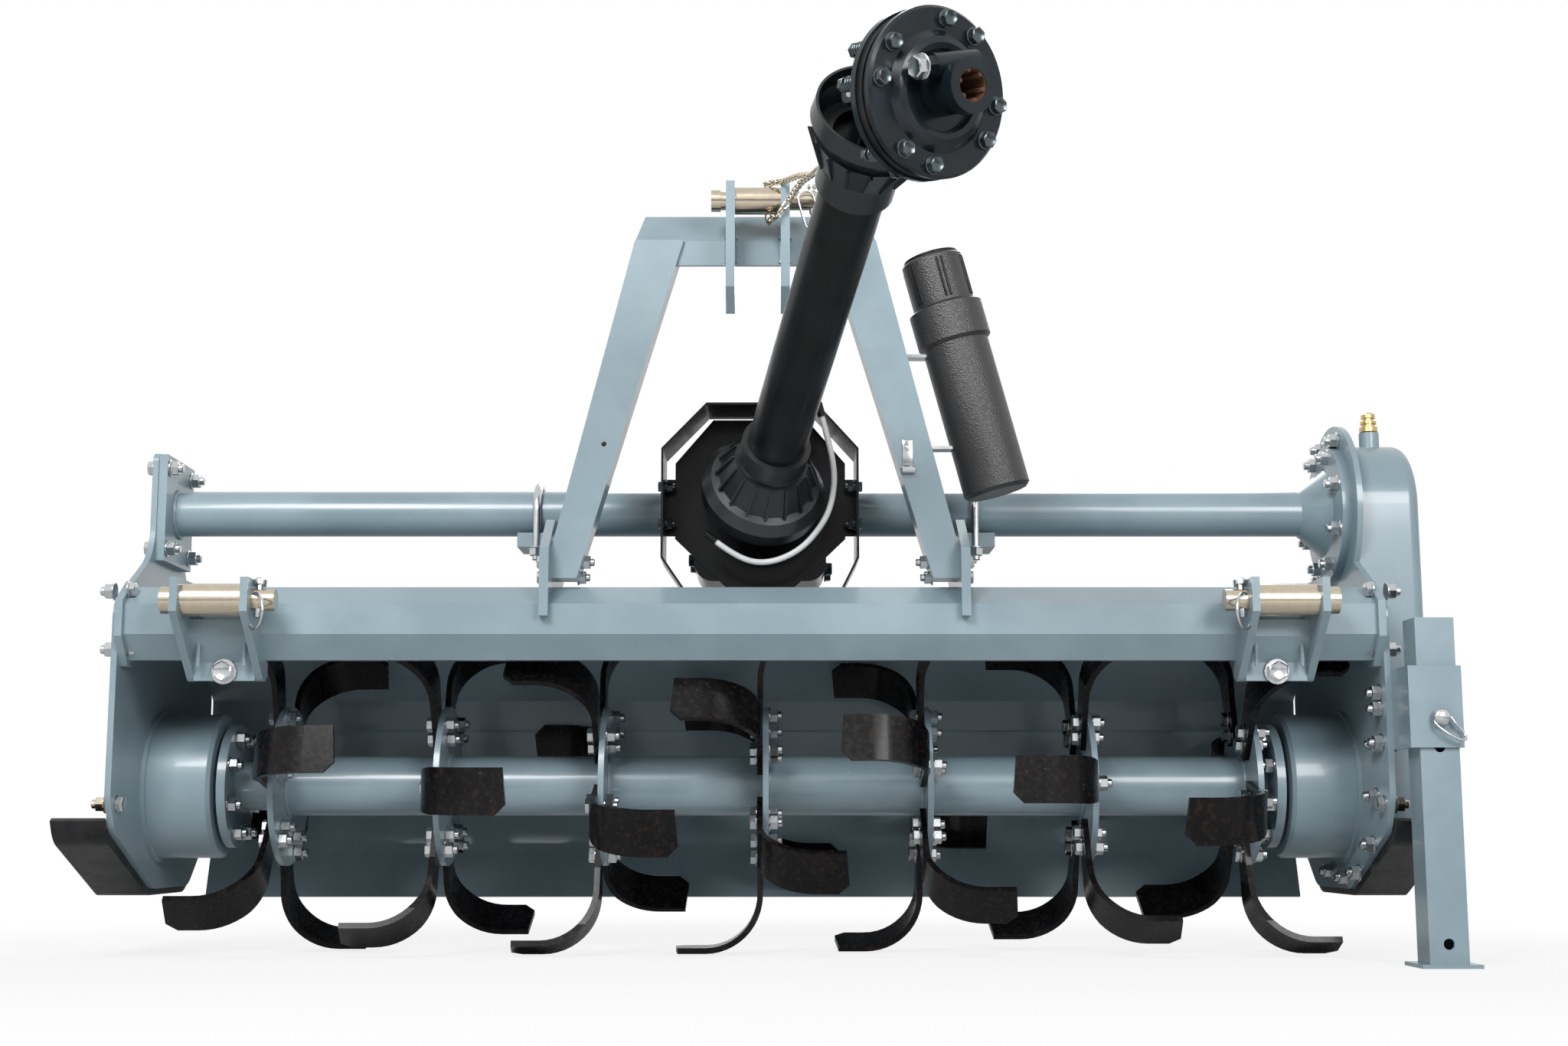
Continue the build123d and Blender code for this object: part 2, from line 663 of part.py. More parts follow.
def clutch_turning(edge):
    """Turned piece from its edge, as distances from the upper joint and radii."""
    with BuildPart() as turning:
        with BuildSketch(Plane(origin=upper_joint, x_dir=clutch_dir, z_dir=clutch_dir.cross(tilt_axis))):
            with BuildLine():
                Polyline(*edge, close=True)
            make_face()
        revolve(axis=Axis(upper_joint, clutch_dir))
    return turning.part


# Slip clutch at the tractor end: pressure plate, friction discs, front plate and splined hub
disc_edge = [
    (CLUTCH_FRONT - CLUTCH_STACK_T, 0),
    (CLUTCH_FRONT - CLUTCH_STACK_T, CLUTCH_R - 3),
    (CLUTCH_FRONT - DISC_T - 4, CLUTCH_R - 3),
    (CLUTCH_FRONT - DISC_T - 4, CLUTCH_R - 8),
    (CLUTCH_FRONT - DISC_T, CLUTCH_R - 8),
    (CLUTCH_FRONT - DISC_T, CLUTCH_R - 3),
    (CLUTCH_FRONT, CLUTCH_R - 3),
    (CLUTCH_FRONT, 0),
]
clutch_edges = {
    "clutch_back_plate": [
        (CLUTCH_BACK, 0),
        (CLUTCH_BACK, YOKE_HUB_R),
        (CLUTCH_BACK - 6, YOKE_HUB_R),
        (CLUTCH_BACK - 6, 52),
        (CLUTCH_BACK, 60),
        (CLUTCH_BACK, CLUTCH_R),
        (CLUTCH_BACK + CLUTCH_PLATE_T, CLUTCH_R),
        (CLUTCH_BACK + CLUTCH_PLATE_T, 0),
    ],
    "clutch_discs": disc_edge,
    "clutch_front_plate": [
        (CLUTCH_FRONT, CLUTCH_WELL_R),
        (CLUTCH_FRONT, CLUTCH_R),
        (CLUTCH_FRONT + 5, CLUTCH_R),
        (CLUTCH_FRONT + 8, CLUTCH_R - 3),
        (CLUTCH_FRONT + 8, 64),
        (CLUTCH_FRONT + 15, 57),
        (CLUTCH_FRONT + 18, 50),
        (CLUTCH_FRONT + 17, 44),
        (CLUTCH_FRONT + 12, CLUTCH_WELL_R),
    ],
}
for clutch_name, clutch_edge in clutch_edges.items():
    finish(clutch_turning(clutch_edge), clutch_name)

with BuildPart() as clutch_hub:
    with BuildSketch(clutch_plane(CLUTCH_FRONT)):
        Circle(CLUTCH_WELL_R - FIT)
    extrude(amount=HUB_AT - CLUTCH_FRONT)
    with BuildSketch(clutch_plane(HUB_AT)):
        Circle(HUB_R)
    extrude(amount=HUB_LEN)
    with BuildSketch(clutch_plane(HUB_AT + HUB_LEN - 16)):
        Circle(HUB_R + 3)
    extrude(amount=16)
    pinch_dir = turned(tilt_axis, clutch_dir, PINCH_TURN)
    pinch_out = clutch_dir.cross(pinch_dir)
    pinch_mid = upper_joint + clutch_dir * PINCH_AT + pinch_out * PINCH_OFF
    with BuildSketch(Plane(origin=pinch_mid - pinch_dir * 30, x_dir=clutch_dir, z_dir=pinch_dir)):
        Circle(PINCH_R + 4)
    extrude(amount=58)
    with BuildSketch(Plane(origin=pinch_mid - pinch_dir * 42, x_dir=clutch_dir, z_dir=pinch_dir)):
        RegularPolygon(PINCH_R + 2, 6)
    extrude(amount=14)
    with BuildSketch(clutch_plane(HUB_AT)):
        Circle(HUB_BORE_R)
    extrude(amount=HUB_LEN, mode=Mode.SUBTRACT)
finish(clutch_hub.part, "clutch_hub")



def leg_face(side):
    """Front face of a mast leg, as a list of corners; side is -1 for the left leg and 1 for the right."""
    return [
        (MAST_X + side * LEG_TOP_OUT, MAST_LEG_TOP),
        (MAST_X + side * LEG_TOP_IN, MAST_LEG_TOP),
        (MAST_X + side * LEG_FOOT_IN, MAST_LEG_FOOT),
        (MAST_X + side * LEG_FOOT_OUT, MAST_LEG_FOOT),
        (MAST_X + side * LEG_FOOT_OUT, MAST_LEG_FOOT + LEG_FOOT_STRAIGHT),
    ]


# Mast: two folded legs and a cross member whose top slopes back
for leg_name, leg_side in (("mast_leg_left", -1), ("mast_leg_right", 1)):
    with BuildPart() as leg:
        with BuildSketch(front_plane(MAST_FRONT + MAST_DEPTH)):
            Polygon(*leg_face(leg_side), align=None)
        extrude(amount=MAST_DEPTH)
        with BuildSketch(front_plane(MAST_FRONT + MAST_DEPTH)):
            Polygon(*leg_face(leg_side), align=None)
            offset(amount=-MAST_WALL, mode=Mode.REPLACE)
        extrude(amount=MAST_DEPTH - MAST_WALL, mode=Mode.SUBTRACT)
    finish(leg.part, leg_name)

with BuildPart() as mast_cross:
    with BuildSketch(side_plane(MAST_X - LEG_TOP_OUT)):
        Polygon(
            (MAST_FRONT + MAST_WALL, MAST_CROSS_BOTTOM),
            (MAST_FRONT + MAST_WALL, MAST_LEG_TOP),
            (MAST_FRONT + MAST_DEPTH, MAST_TOP),
            (CROSS_REAR, MAST_TOP),
            (CROSS_REAR, MAST_TOP - MAST_WALL),
            (MAST_FRONT + MAST_DEPTH, MAST_TOP - MAST_WALL),
            (MAST_FRONT + 2 * MAST_WALL, MAST_LEG_TOP - MAST_WALL),
            (MAST_FRONT + 2 * MAST_WALL, MAST_CROSS_BOTTOM),
            align=None,
        )
    extrude(amount=2 * LEG_TOP_OUT)
    with BuildSketch(front_plane(CROSS_REAR)):
        Polygon(
            (MAST_X - LEG_TOP_OUT, MAST_CROSS_BOTTOM),
            (MAST_X - LEG_TOP_OUT, MAST_LEG_TOP),
            (MAST_X - CROSS_TOP_OUT, MAST_TOP),
            (MAST_X + CROSS_TOP_OUT, MAST_TOP),
            (MAST_X + LEG_TOP_OUT, MAST_LEG_TOP),
            (MAST_X + LEG_TOP_OUT, MAST_CROSS_BOTTOM),
            align=None,
        )
    extrude(amount=MAST_DEPTH * 2, mode=Mode.INTERSECT)
    for leg_side in (-1, 1):
        with BuildSketch(front_plane(MAST_FRONT + MAST_DEPTH)):
            Polygon(*leg_face(leg_side), align=None)
        extrude(amount=MAST_DEPTH, mode=Mode.SUBTRACT)
finish(mast_cross.part, "mast_cross")

with BuildPart() as mast_carriers:
    for carrier_x in (MAST_X - LEG_FOOT_OUT - CARRIER_T, MAST_X + LEG_FOOT_OUT):
        with BuildSketch(side_plane(carrier_x)):
            with BuildLine():
                Polyline(
                    (CARRIER_FRONT, CARRIER_FOOT),
                    (CARRIER_FRONT, CARRIER_FRONT_TOP),
                    (MAST_FRONT + MAST_DEPTH, CARRIER_TOP),
                    (CARRIER_REAR, CARRIER_TOP),
                    (CARRIER_REAR, CARRIER_TOP - CARRIER_EDGE),
                    (BEAM_REAR / 2, HOOD_TOP),
                    (BEAM_REAR, BEAM_TOP),
                    (BEAM_FRONT + 38, BEAM_TOP),
                    (BEAM_FRONT, BEAM_TOP - 26),
                    (BEAM_FRONT, CARRIER_FOOT),
                    close=True,
                )
            make_face()
        extrude(amount=CARRIER_T)
    for pad_x in (MAST_X - LEG_FOOT_OUT - CARRIER_T - PAD_W, MAST_X + LEG_FOOT_OUT + CARRIER_T):
        with BuildSketch(side_plane(pad_x)):
            with Locations((AXLE_Y, CARRIER_TOP - CARRIER_EDGE / 2)):
                Rectangle(2 * PAD_HALF, CARRIER_EDGE)
        extrude(amount=PAD_W)
finish(mast_carriers.part, "mast_carriers")

with BuildPart() as top_lugs:
    for lug_x in (LUG_X - LUG_GAP / 2 - LUG_T, LUG_X + LUG_GAP / 2):
        with BuildSketch(side_plane(lug_x)):
            Polygon(
                (LUG_FRONT, LUG_BOTTOM + 30),
                (LUG_FRONT, LUG_TOP),
                (MAST_FRONT - 8, LUG_TOP),
                (MAST_FRONT + MAST_WALL + LUG_WELD * (MAST_DEPTH - MAST_WALL), MAST_LEG_TOP + LUG_WELD * (MAST_TOP - MAST_LEG_TOP)),
                (MAST_FRONT + MAST_WALL, MAST_LEG_TOP),
                (MAST_FRONT + MAST_WALL, MAST_CROSS_BOTTOM),
                (LUG_FRONT + 30, LUG_BOTTOM),
                align=None,
            )
            with Locations((TOP_PIN_Y, TOP_PIN_Z)):
                Circle(TOP_PIN_R, mode=Mode.SUBTRACT)
        extrude(amount=LUG_T)
finish(top_lugs.part, "top_hitch_lugs")

with BuildPart() as top_pin:
    with BuildSketch(side_plane(LUG_X - LUG_GAP / 2 - LUG_T - TOP_HEAD_GAP)):
        with Locations((TOP_PIN_Y, TOP_PIN_Z)):
            Circle(TOP_PIN_R)
    extrude(amount=LUG_GAP + 2 * LUG_T + TOP_HEAD_GAP + TOP_PIN_END)
    with BuildSketch(side_plane(LUG_X - LUG_GAP / 2 - LUG_T - TOP_HEAD_GAP)):
        with Locations((TOP_PIN_Y, TOP_PIN_Z)):
            Circle(TOP_HEAD_R)
    extrude(amount=-TOP_HEAD_T)
    with BuildSketch(side_plane(LUG_X - LUG_GAP / 2)):
        with Locations((TOP_PIN_Y, TOP_PIN_Z)):
            Circle(TOP_SLEEVE_R)
    extrude(amount=LUG_GAP)
finish(top_pin.part, "top_link_pin")

# Lower hitch brackets and pins
for hitch_name, hitch_side in (("left", -1), ("right", 1)):
    hitch_mid = hitch_side * HITCH_X
    with BuildPart() as hitch:
        for cheek_x in (hitch_mid - HITCH_HALF - HITCH_T, hitch_mid + HITCH_HALF):
            with BuildSketch(side_plane(cheek_x)):
                with BuildLine():
                    Polyline(
                        (HITCH_FRONT, HITCH_TOP - HITCH_NOSE),
                        (HITCH_FRONT, HITCH_TOP),
                        (BEAM_FRONT, HITCH_TOP),
                        (BEAM_FRONT, BEAM_BOTTOM + 32),
                        (BEAM_FRONT + 28, BEAM_BOTTOM),
                        (BEAM_REAR - 20, BEAM_BOTTOM),
                        (BEAM_REAR - 20, HITCH_BOTTOM + 12),
                        (BEAM_FRONT + 28, HITCH_BOTTOM),
                        close=True,
                    )
                cheek = make_face()
                fillet(cheek.vertices().group_by(Axis.Y)[0], HITCH_BEND)
                with Locations((LOWER_PIN_Y, LOWER_PIN_Z)):
                    Circle(LOWER_PIN_R, mode=Mode.SUBTRACT)
            extrude(amount=HITCH_T)
        with BuildSketch(side_plane(hitch_mid - HITCH_HALF)):
            with BuildLine():
                Polyline(
                    (BEAM_FRONT, BEAM_BOTTOM + 50),
                    (BEAM_FRONT, BEAM_BOTTOM + 32),
                    (BEAM_FRONT + 28, BEAM_BOTTOM),
                    (BEAM_FRONT + 28, BEAM_BOTTOM - 28),
                    (BEAM_FRONT + 16, BEAM_BOTTOM - 28),
                    (BEAM_FRONT + 16, BEAM_BOTTOM - 4),
                    (BEAM_FRONT - 12, BEAM_BOTTOM + 28),
                    (BEAM_FRONT - 12, BEAM_BOTTOM + 50),
                    close=True,
                )
            make_face()
        extrude(amount=2 * HITCH_HALF)
    finish(hitch.part, f"lower_hitch_{hitch_name}")
    with BuildPart() as hitch_pin:
        with BuildSketch(side_plane(hitch_mid - hitch_side * (HITCH_HALF + HITCH_T + LOWER_PIN_END))):
            with Locations((LOWER_PIN_Y, LOWER_PIN_Z)):
                Circle(LOWER_PIN_R)
        extrude(amount=hitch_side * (2 * HITCH_HALF + 2 * HITCH_T + LOWER_PIN_END + LOWER_HEAD_T))
        with BuildSketch(side_plane(hitch_mid + hitch_side * (HITCH_HALF + HITCH_T))):
            with Locations((LOWER_PIN_Y, LOWER_PIN_Z)):
                Circle(LOWER_HEAD_R)
        extrude(amount=hitch_side * LOWER_HEAD_T)
        with BuildSketch(side_plane(hitch_mid - HITCH_HALF)):
            with Locations((LOWER_PIN_Y, LOWER_PIN_Z)):
                Circle(LOWER_SLEEVE_R)
        extrude(amount=2 * HITCH_HALF)
    finish(hitch_pin.part, f"lower_pin_{hitch_name}")

# Side transmission case outside the right plate
with BuildPart() as side_case:
    with BuildSketch(side_plane(PLATE_OUT)):
        with Locations((0, 0)):
            Circle(CASE_LOW_R)
        with Locations((AXLE_Y, AXLE_Z)):
            Circle(CASE_TOP_R)
        make_hull()
    extrude(amount=CASE_T)
    fillet(side_case.faces().sort_by(Axis.X)[-1].edges(), CASE_EDGE)
    with BuildSketch(top_plane(AXLE_Z + CASE_TOP_R - 3)):
        with Locations((BREATHER_X, AXLE_Y)):
            Circle(BREATHER_R)
    extrude(amount=BREATHER_H)
finish(side_case.part, "side_case")

# Bearing drums
for drum_name, drum_side in (("left", -1), ("right", 1)):
    with BuildPart() as drum:
        with BuildSketch(side_plane(drum_side * PLATE_IN)):
            Circle(DRUM_RIM_R)
        extrude(amount=-drum_side * DRUM_RIM_T)
        with BuildSketch(side_plane(drum_side * PLATE_IN)):
            Circle(DRUM_R)
        extrude(amount=-drum_side * DRUM_LEN)
        chamfer(drum.edges().sort_by(Axis.X)[-1 if drum_side < 0 else 0], DRUM_EDGE)
        with BuildSketch(side_plane(drum_side * (PLATE_IN - DRUM_LEN))):
            Circle(STUB_R + RUN_GAP)
        extrude(amount=drum_side * STUB_DEPTH, mode=Mode.SUBTRACT)
        with BuildSketch(side_plane(drum_side * (PLATE_IN - DRUM_LEN))):
            Circle(JOURNAL_R + JOURNAL_FIT)
        extrude(amount=drum_side * JOURNAL_DEPTH, mode=Mode.SUBTRACT)
    finish(drum.part, f"bearing_drum_{drum_name}")

# Rotor: tube and stub shafts, flanges, tines
FLANGE_LAST = FLANGE_FIRST + (FLANGE_COUNT - 1) * FLANGE_PITCH
with BuildPart() as rotor_tube:
    with BuildSketch(side_plane(FLANGE_FIRST)):
        Circle(TUBE_R)
        Circle(TUBE_R - TUBE_WALL, mode=Mode.SUBTRACT)
    extrude(amount=FLANGE_LAST - FLANGE_FIRST)
finish(rotor_tube.part, "rotor_tube")

with BuildPart() as rotor_stubs:
    for stub_side, stub_from in ((-1, FLANGE_FIRST), (1, FLANGE_LAST)):
        stub_end = stub_side * (PLATE_IN - DRUM_LEN + STUB_DEPTH - RUN_GAP)
        with BuildSketch(side_plane(stub_from)):
            Circle(STUB_R)
        extrude(amount=stub_end - stub_from)
        with BuildSketch(side_plane(stub_from)):
            Circle(TUBE_R - TUBE_WALL)
        extrude(amount=-stub_side * STUB_PLUG)
        with BuildSketch(side_plane(stub_from)):
            Circle(JOURNAL_R)
        extrude(amount=stub_side * (PLATE_IN - DRUM_LEN + JOURNAL_DEPTH - RUN_GAP) - stub_from)
        flange_at = stub_side * (PLATE_IN - DRUM_LEN - RUN_GAP)
        with BuildSketch(side_plane(flange_at)):
            Circle(STUB_FLANGE_R)
        extrude(amount=-stub_side * STUB_FLANGE_T)
finish(rotor_stubs.part, "rotor_stubs")

with BuildPart() as rotor_flanges:
    for i in range(FLANGE_COUNT):
        with BuildSketch(side_plane(FLANGE_FIRST + i * FLANGE_PITCH - FLANGE_T / 2)):
            Circle(FLANGE_R)
            Circle(TUBE_R, mode=Mode.SUBTRACT)
        extrude(amount=FLANGE_T)
finish(rotor_flanges.part, "rotor_flanges")


def tine(flange_x, hand, degrees):
    """Curved tine bolted to a flange's left face; hand is -1 for a blade that turns left and 1 for right."""
    angle = math.radians(degrees)
    radial = Vector(0, -math.cos(angle), math.sin(angle))
    tangent = Vector(0, math.sin(angle), math.cos(angle))
    outward = Vector(hand, 0, 0)
    start = Vector(MID_X + flange_x - (FLANGE_T + TINE_T) / 2, ROTOR_Y, ROTOR_Z)
    bend_at = TINE_TIP_R - TINE_T / 2 - TINE_BEND_R
    front = Plane(origin=start, x_dir=outward, z_dir=outward.cross(radial))
    face = Plane(origin=start, x_dir=tangent, z_dir=tangent.cross(radial))
    with BuildPart() as blade:
        with BuildSketch(front):
            with BuildLine():
                Polyline(
                    (TINE_T / 2, bend_at),
                    (TINE_T / 2, TINE_ROOT_R),
                    (-TINE_T / 2, TINE_ROOT_R),
                    (-TINE_T / 2, bend_at),
                )
                CenterArc((TINE_BEND_R, bend_at), TINE_BEND_R + TINE_T / 2, 180, -90)
                Polyline(
                    (TINE_BEND_R, TINE_TIP_R),
                    (TINE_REACH, TINE_TIP_R),
                    (TINE_REACH, TINE_TIP_R - TINE_T),
                    (TINE_BEND_R, TINE_TIP_R - TINE_T),
                )
                CenterArc((TINE_BEND_R, bend_at), TINE_BEND_R - TINE_T / 2, 90, 90)
            make_face()
        extrude(amount=TINE_BLADE_W, both=True)
        with BuildSketch(face):
            Polygon(
                (-TINE_SHANK_W / 2, TINE_ROOT_R - 1),
                (TINE_SHANK_W / 2, TINE_ROOT_R - 1),
                (TINE_SHANK_W / 2, bend_at - 30),
                (TINE_BLADE_W / 2, TINE_TIP_R - 30),
                (TINE_BLADE_W / 2, TINE_TIP_R + 1),
                (-TINE_BLADE_W / 2, TINE_TIP_R + 1),
                (-TINE_BLADE_W / 2, TINE_TIP_R - 30),
                (-TINE_SHANK_W / 2, bend_at - 30),
                align=None,
            )
        extrude(amount=2 * TINE_REACH, both=True, mode=Mode.INTERSECT)
        with BuildSketch(Plane(origin=start, x_dir=outward, z_dir=radial)):
            Polygon(
                (TINE_REACH - TINE_TIP_CUT / 2, hand * TINE_BLADE_W),
                (TINE_REACH, -hand * (TINE_BLADE_W / 2 - TINE_TIP_CUT)),
                (TINE_REACH - TINE_TIP_CUT, -hand * TINE_BLADE_W / 2),
                (TINE_REACH - TINE_TIP_CUT, -hand * TINE_BLADE_W),
                (2 * TINE_REACH, -hand * TINE_BLADE_W),
                (2 * TINE_REACH, hand * TINE_BLADE_W),
                align=None,
            )
        extrude(amount=2 * TINE_TIP_R, mode=Mode.SUBTRACT)
    return blade.part


tine_list = []
for i in range(FLANGE_COUNT):
    for k in range(TINES_PER_SIDE):
        turn = TINE_FIRST_DEG + i * TINE_STEP_DEG + k * 360 / TINES_PER_SIDE
        tine_list.append(tine(FLANGE_FIRST + i * FLANGE_PITCH, 1, turn))
        tine_list.append(tine(FLANGE_FIRST + i * FLANGE_PITCH, -1, turn + 180 / TINES_PER_SIDE))
finish(Compound(children=tine_list), "tines")

# Skids along the plates' lower edges
skid_line = [
    (PLATE_FRONT + 6, -48),
    (PLATE_FRONT + 24 - 5, -64 - 9),
    (-22, PLATE_BOTTOM - SKID_T / 2 - 1),
    (156, PLATE_BOTTOM - SKID_T / 2 - 1),
    (PLATE_REAR + 4, -84),
]
for skid_name, skid_side in (("left", -1), ("right", 1)):
    with BuildPart() as skid:
        with BuildSketch(side_plane(skid_side * PLATE_OUT)):
            Polygon(*skid_line[1:-1], (150, -96), (60, -84), (-60, -84), (-150, -52), (-196, -40), align=None)
            if skid_side > 0:
                Circle(CASE_LOW_R + FIT, mode=Mode.SUBTRACT)
        extrude(amount=skid_side * SKID_WEB_T)
        with BuildSketch(side_plane(skid_side * PLATE_OUT)):
            with BuildLine() as skid_edge:
                Polyline(*skid_line)
                fillet(skid_edge.vertices(), SKID_BEND)
            trace(line_width=SKID_T)
        extrude(amount=skid_side * SKID_W)
    finish(skid.part, f"skid_{skid_name}")

# Parking stand: a square leg with a foot plate in a sleeve
with BuildPart() as stand_sleeve:
    with BuildSketch(top_plane(SLEEVE_BOTTOM)):
        with Locations((STAND_X, STAND_Y)):
            Rectangle(SLEEVE_W, SLEEVE_W)
            Rectangle(LEG_W + 2 * SLEEVE_GAP, LEG_W + 2 * SLEEVE_GAP, mode=Mode.SUBTRACT)
        with Locations((PLATE_OUT + STAND_BRACKET_T / 2, STAND_Y - SLEEVE_W / 2)):
            Rectangle(STAND_BRACKET_T, STAND_BRACKET_LEN, align=(Align.CENTER, Align.MIN))
    extrude(amount=SLEEVE_TOP - SLEEVE_BOTTOM)
    with BuildSketch(front_plane(STAND_Y)):
        with Locations((STAND_X, STAND_PIN_Z)):
            Circle(STAND_PIN_R)
    extrude(amount=SLEEVE_W, mode=Mode.SUBTRACT)
finish(stand_sleeve.part, "stand_sleeve")

with BuildPart() as stand_leg:
    with BuildSketch(top_plane(FOOT_T - ROTOR_Z)):
        with Locations((STAND_X, STAND_Y)):
            Rectangle(LEG_W, LEG_W)
            Rectangle(LEG_W - 2 * LEG_WALL, LEG_W - 2 * LEG_WALL, mode=Mode.SUBTRACT)
    extrude(amount=LEG_TOP + ROTOR_Z - FOOT_T)
    with BuildSketch(top_plane(-ROTOR_Z)):
        with Locations((STAND_X, STAND_Y)):
            Rectangle(FOOT_W, FOOT_W)
    extrude(amount=FOOT_T)
    with BuildSketch(front_plane(STAND_Y)):
        with Locations(*[(STAND_X, hole_z) for hole_z in LEG_HOLES]):
            Circle(STAND_PIN_R)
    extrude(amount=LEG_W, both=True, mode=Mode.SUBTRACT)
finish(stand_leg.part, "stand_leg")

# Tube that holds the manual, on tabs from the outer edge of the right leg
can_dir = Vector(math.sin(math.radians(CAN_LEAN)), 0, math.cos(math.radians(CAN_LEAN)))
can_out = Vector(can_dir.Z, 0, -can_dir.X)
can_foot = Vector(MID_X + CAN_X, ROTOR_Y + CAN_Y, ROTOR_Z + CAN_Z)
with BuildPart() as manual_tube:
    with BuildSketch(Plane(origin=can_foot, x_dir=can_out, z_dir=can_out.cross(can_dir))):
        Polygon(
            (0, 0),
            (CAN_R - CAN_EDGE, 0),
            (CAN_R, CAN_EDGE),
            (CAN_R, CAN_BAND_AT),
            (CAN_BAND_R, CAN_BAND_AT + CAN_EDGE),
            (CAN_BAND_R, CAN_BAND_AT + CAN_BAND_LEN),
            (CAN_CAP_R, CAN_BAND_AT + CAN_BAND_LEN + CAN_EDGE),
            (CAN_CAP_R, CAN_LEN - CAN_EDGE),
            (CAN_CAP_R - CAN_EDGE, CAN_LEN),
            (0, CAN_LEN),
            align=None,
        )
    revolve(axis=Axis(can_foot, can_dir))
finish(manual_tube.part, "manual_tube")


def leg_edge(z):
    """Outer edge of a leg, from the mast's midplane, at height z."""
    foot_z = MAST_LEG_FOOT + LEG_FOOT_STRAIGHT
    rise = (z - foot_z) / (MAST_LEG_TOP - foot_z)
    return LEG_FOOT_OUT + rise * (LEG_TOP_OUT - LEG_FOOT_OUT)


with BuildPart() as manual_tabs:
    for tab_at in CAN_TABS:
        tab_mid = can_foot + can_dir * tab_at
        tab_z = tab_mid.Z - ROTOR_Z
        tab_end = tab_mid.X - MID_X - (CAN_R - 1) / can_dir.Z
        with BuildSketch(front_plane(CAN_Y + CAN_TAB_W / 2)):
            Polygon(
                (MAST_X + leg_edge(tab_z), tab_z),
                (tab_end, tab_z),
                (tab_end - CAN_TAB_T * can_dir.X, tab_z + CAN_TAB_T),
                (MAST_X + leg_edge(tab_z + CAN_TAB_T), tab_z + CAN_TAB_T),
                align=None,
            )
        extrude(amount=CAN_TAB_W)
    with BuildSketch(Plane(origin=can_foot, x_dir=can_out, z_dir=can_dir)):
        Circle(CAN_R)
    extrude(amount=CAN_BAND_AT, mode=Mode.SUBTRACT)
finish(manual_tabs.part, "manual_tabs")
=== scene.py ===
import math

import bpy
from mathutils import Matrix, Vector


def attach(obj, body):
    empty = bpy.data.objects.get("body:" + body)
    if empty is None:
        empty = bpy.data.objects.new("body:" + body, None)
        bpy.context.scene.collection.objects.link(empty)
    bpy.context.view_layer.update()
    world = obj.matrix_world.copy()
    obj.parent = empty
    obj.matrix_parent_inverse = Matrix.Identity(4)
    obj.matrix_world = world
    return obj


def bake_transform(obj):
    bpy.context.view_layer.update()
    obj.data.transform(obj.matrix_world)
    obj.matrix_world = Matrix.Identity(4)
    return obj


# Rotary tiller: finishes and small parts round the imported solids.
# Metres, X to the right seen from the front, Y rearwards, Z up.

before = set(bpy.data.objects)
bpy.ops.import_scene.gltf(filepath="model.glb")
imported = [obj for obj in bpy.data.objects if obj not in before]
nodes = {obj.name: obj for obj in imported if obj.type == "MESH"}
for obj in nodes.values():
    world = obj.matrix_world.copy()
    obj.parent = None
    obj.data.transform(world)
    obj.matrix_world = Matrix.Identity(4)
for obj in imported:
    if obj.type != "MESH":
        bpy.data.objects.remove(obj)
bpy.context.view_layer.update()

# Places that repeat the part's source, in millimetres from the midplane and the rotor's axis
MID_X = -9.0
ROTOR_Y = 323.0
ROTOR_Z = 232.5
PLATE_IN = 830.0
PLATE_OUT = 838.0
AXLE_Y = -14.0
AXLE_Z = 385.0
GEARBOX_X = 12.0
MAST_X = 6.0
LUG_X = 9.5
LUG_GAP = 61.0
LUG_T = 12.0
FLANGE_FIRST = -652.0
FLANGE_PITCH = 224.0
FLANGE_COUNT = 7
TINE_FIRST_DEG = 11.0
TINE_STEP_DEG = -14.0
DRIVE_PITCH = math.radians(27.7)
DRIVE_YAW = math.radians(10.5)
DRIVE_LEN = 726.0
CLUTCH_TURN = math.radians(30.3)
CLUTCH_TILT = math.radians(31.6)
HITCH_X = 690.0
MAST_FRONT = -222.0
GUARD_HALF = 134.0
MM = 0.001

# Ways that pieces face, and the two sides of the machine
LEFT, RIGHT = (-1, 0, 0), (1, 0, 0)
FRONT, REAR = (0, -1, 0), (0, 1, 0)
DOWN, UP = (0, 0, -1), (0, 0, 1)
SIDES = (-1, 1)


def at(x, y, z):
    """A place given from the midplane and the rotor's axis in millimetres, in the frame in metres."""
    return Vector((MID_X + x, ROTOR_Y + y, ROTOR_Z + z)) * MM


lower_joint = at(GEARBOX_X, -150.0, AXLE_Z)
drive_ahead = math.cos(DRIVE_YAW)
drive_dir = Vector((math.sin(DRIVE_YAW), -drive_ahead * math.cos(DRIVE_PITCH), drive_ahead * math.sin(DRIVE_PITCH)))
swing_axis = Vector((0.0, math.sin(DRIVE_PITCH), math.cos(DRIVE_PITCH)))
upper_joint = lower_joint + drive_dir * DRIVE_LEN * MM
mid_dir = Matrix.Rotation(CLUTCH_TURN, 3, swing_axis) @ drive_dir
tilt_axis = swing_axis.cross(mid_dir).normalized()
clutch_dir = Matrix.Rotation(CLUTCH_TILT, 3, tilt_axis) @ mid_dir

# ---------------------------------------------------------------- modelling helpers


def deselect():
    """Leave nothing selected."""
    if bpy.context.mode != "OBJECT":
        bpy.ops.object.mode_set(mode="OBJECT")
    bpy.ops.object.select_all(action="DESELECT")


def hold(obj):
    """Select one object and make it active."""
    deselect()
    obj.select_set(True)
    bpy.context.view_layer.objects.active = obj


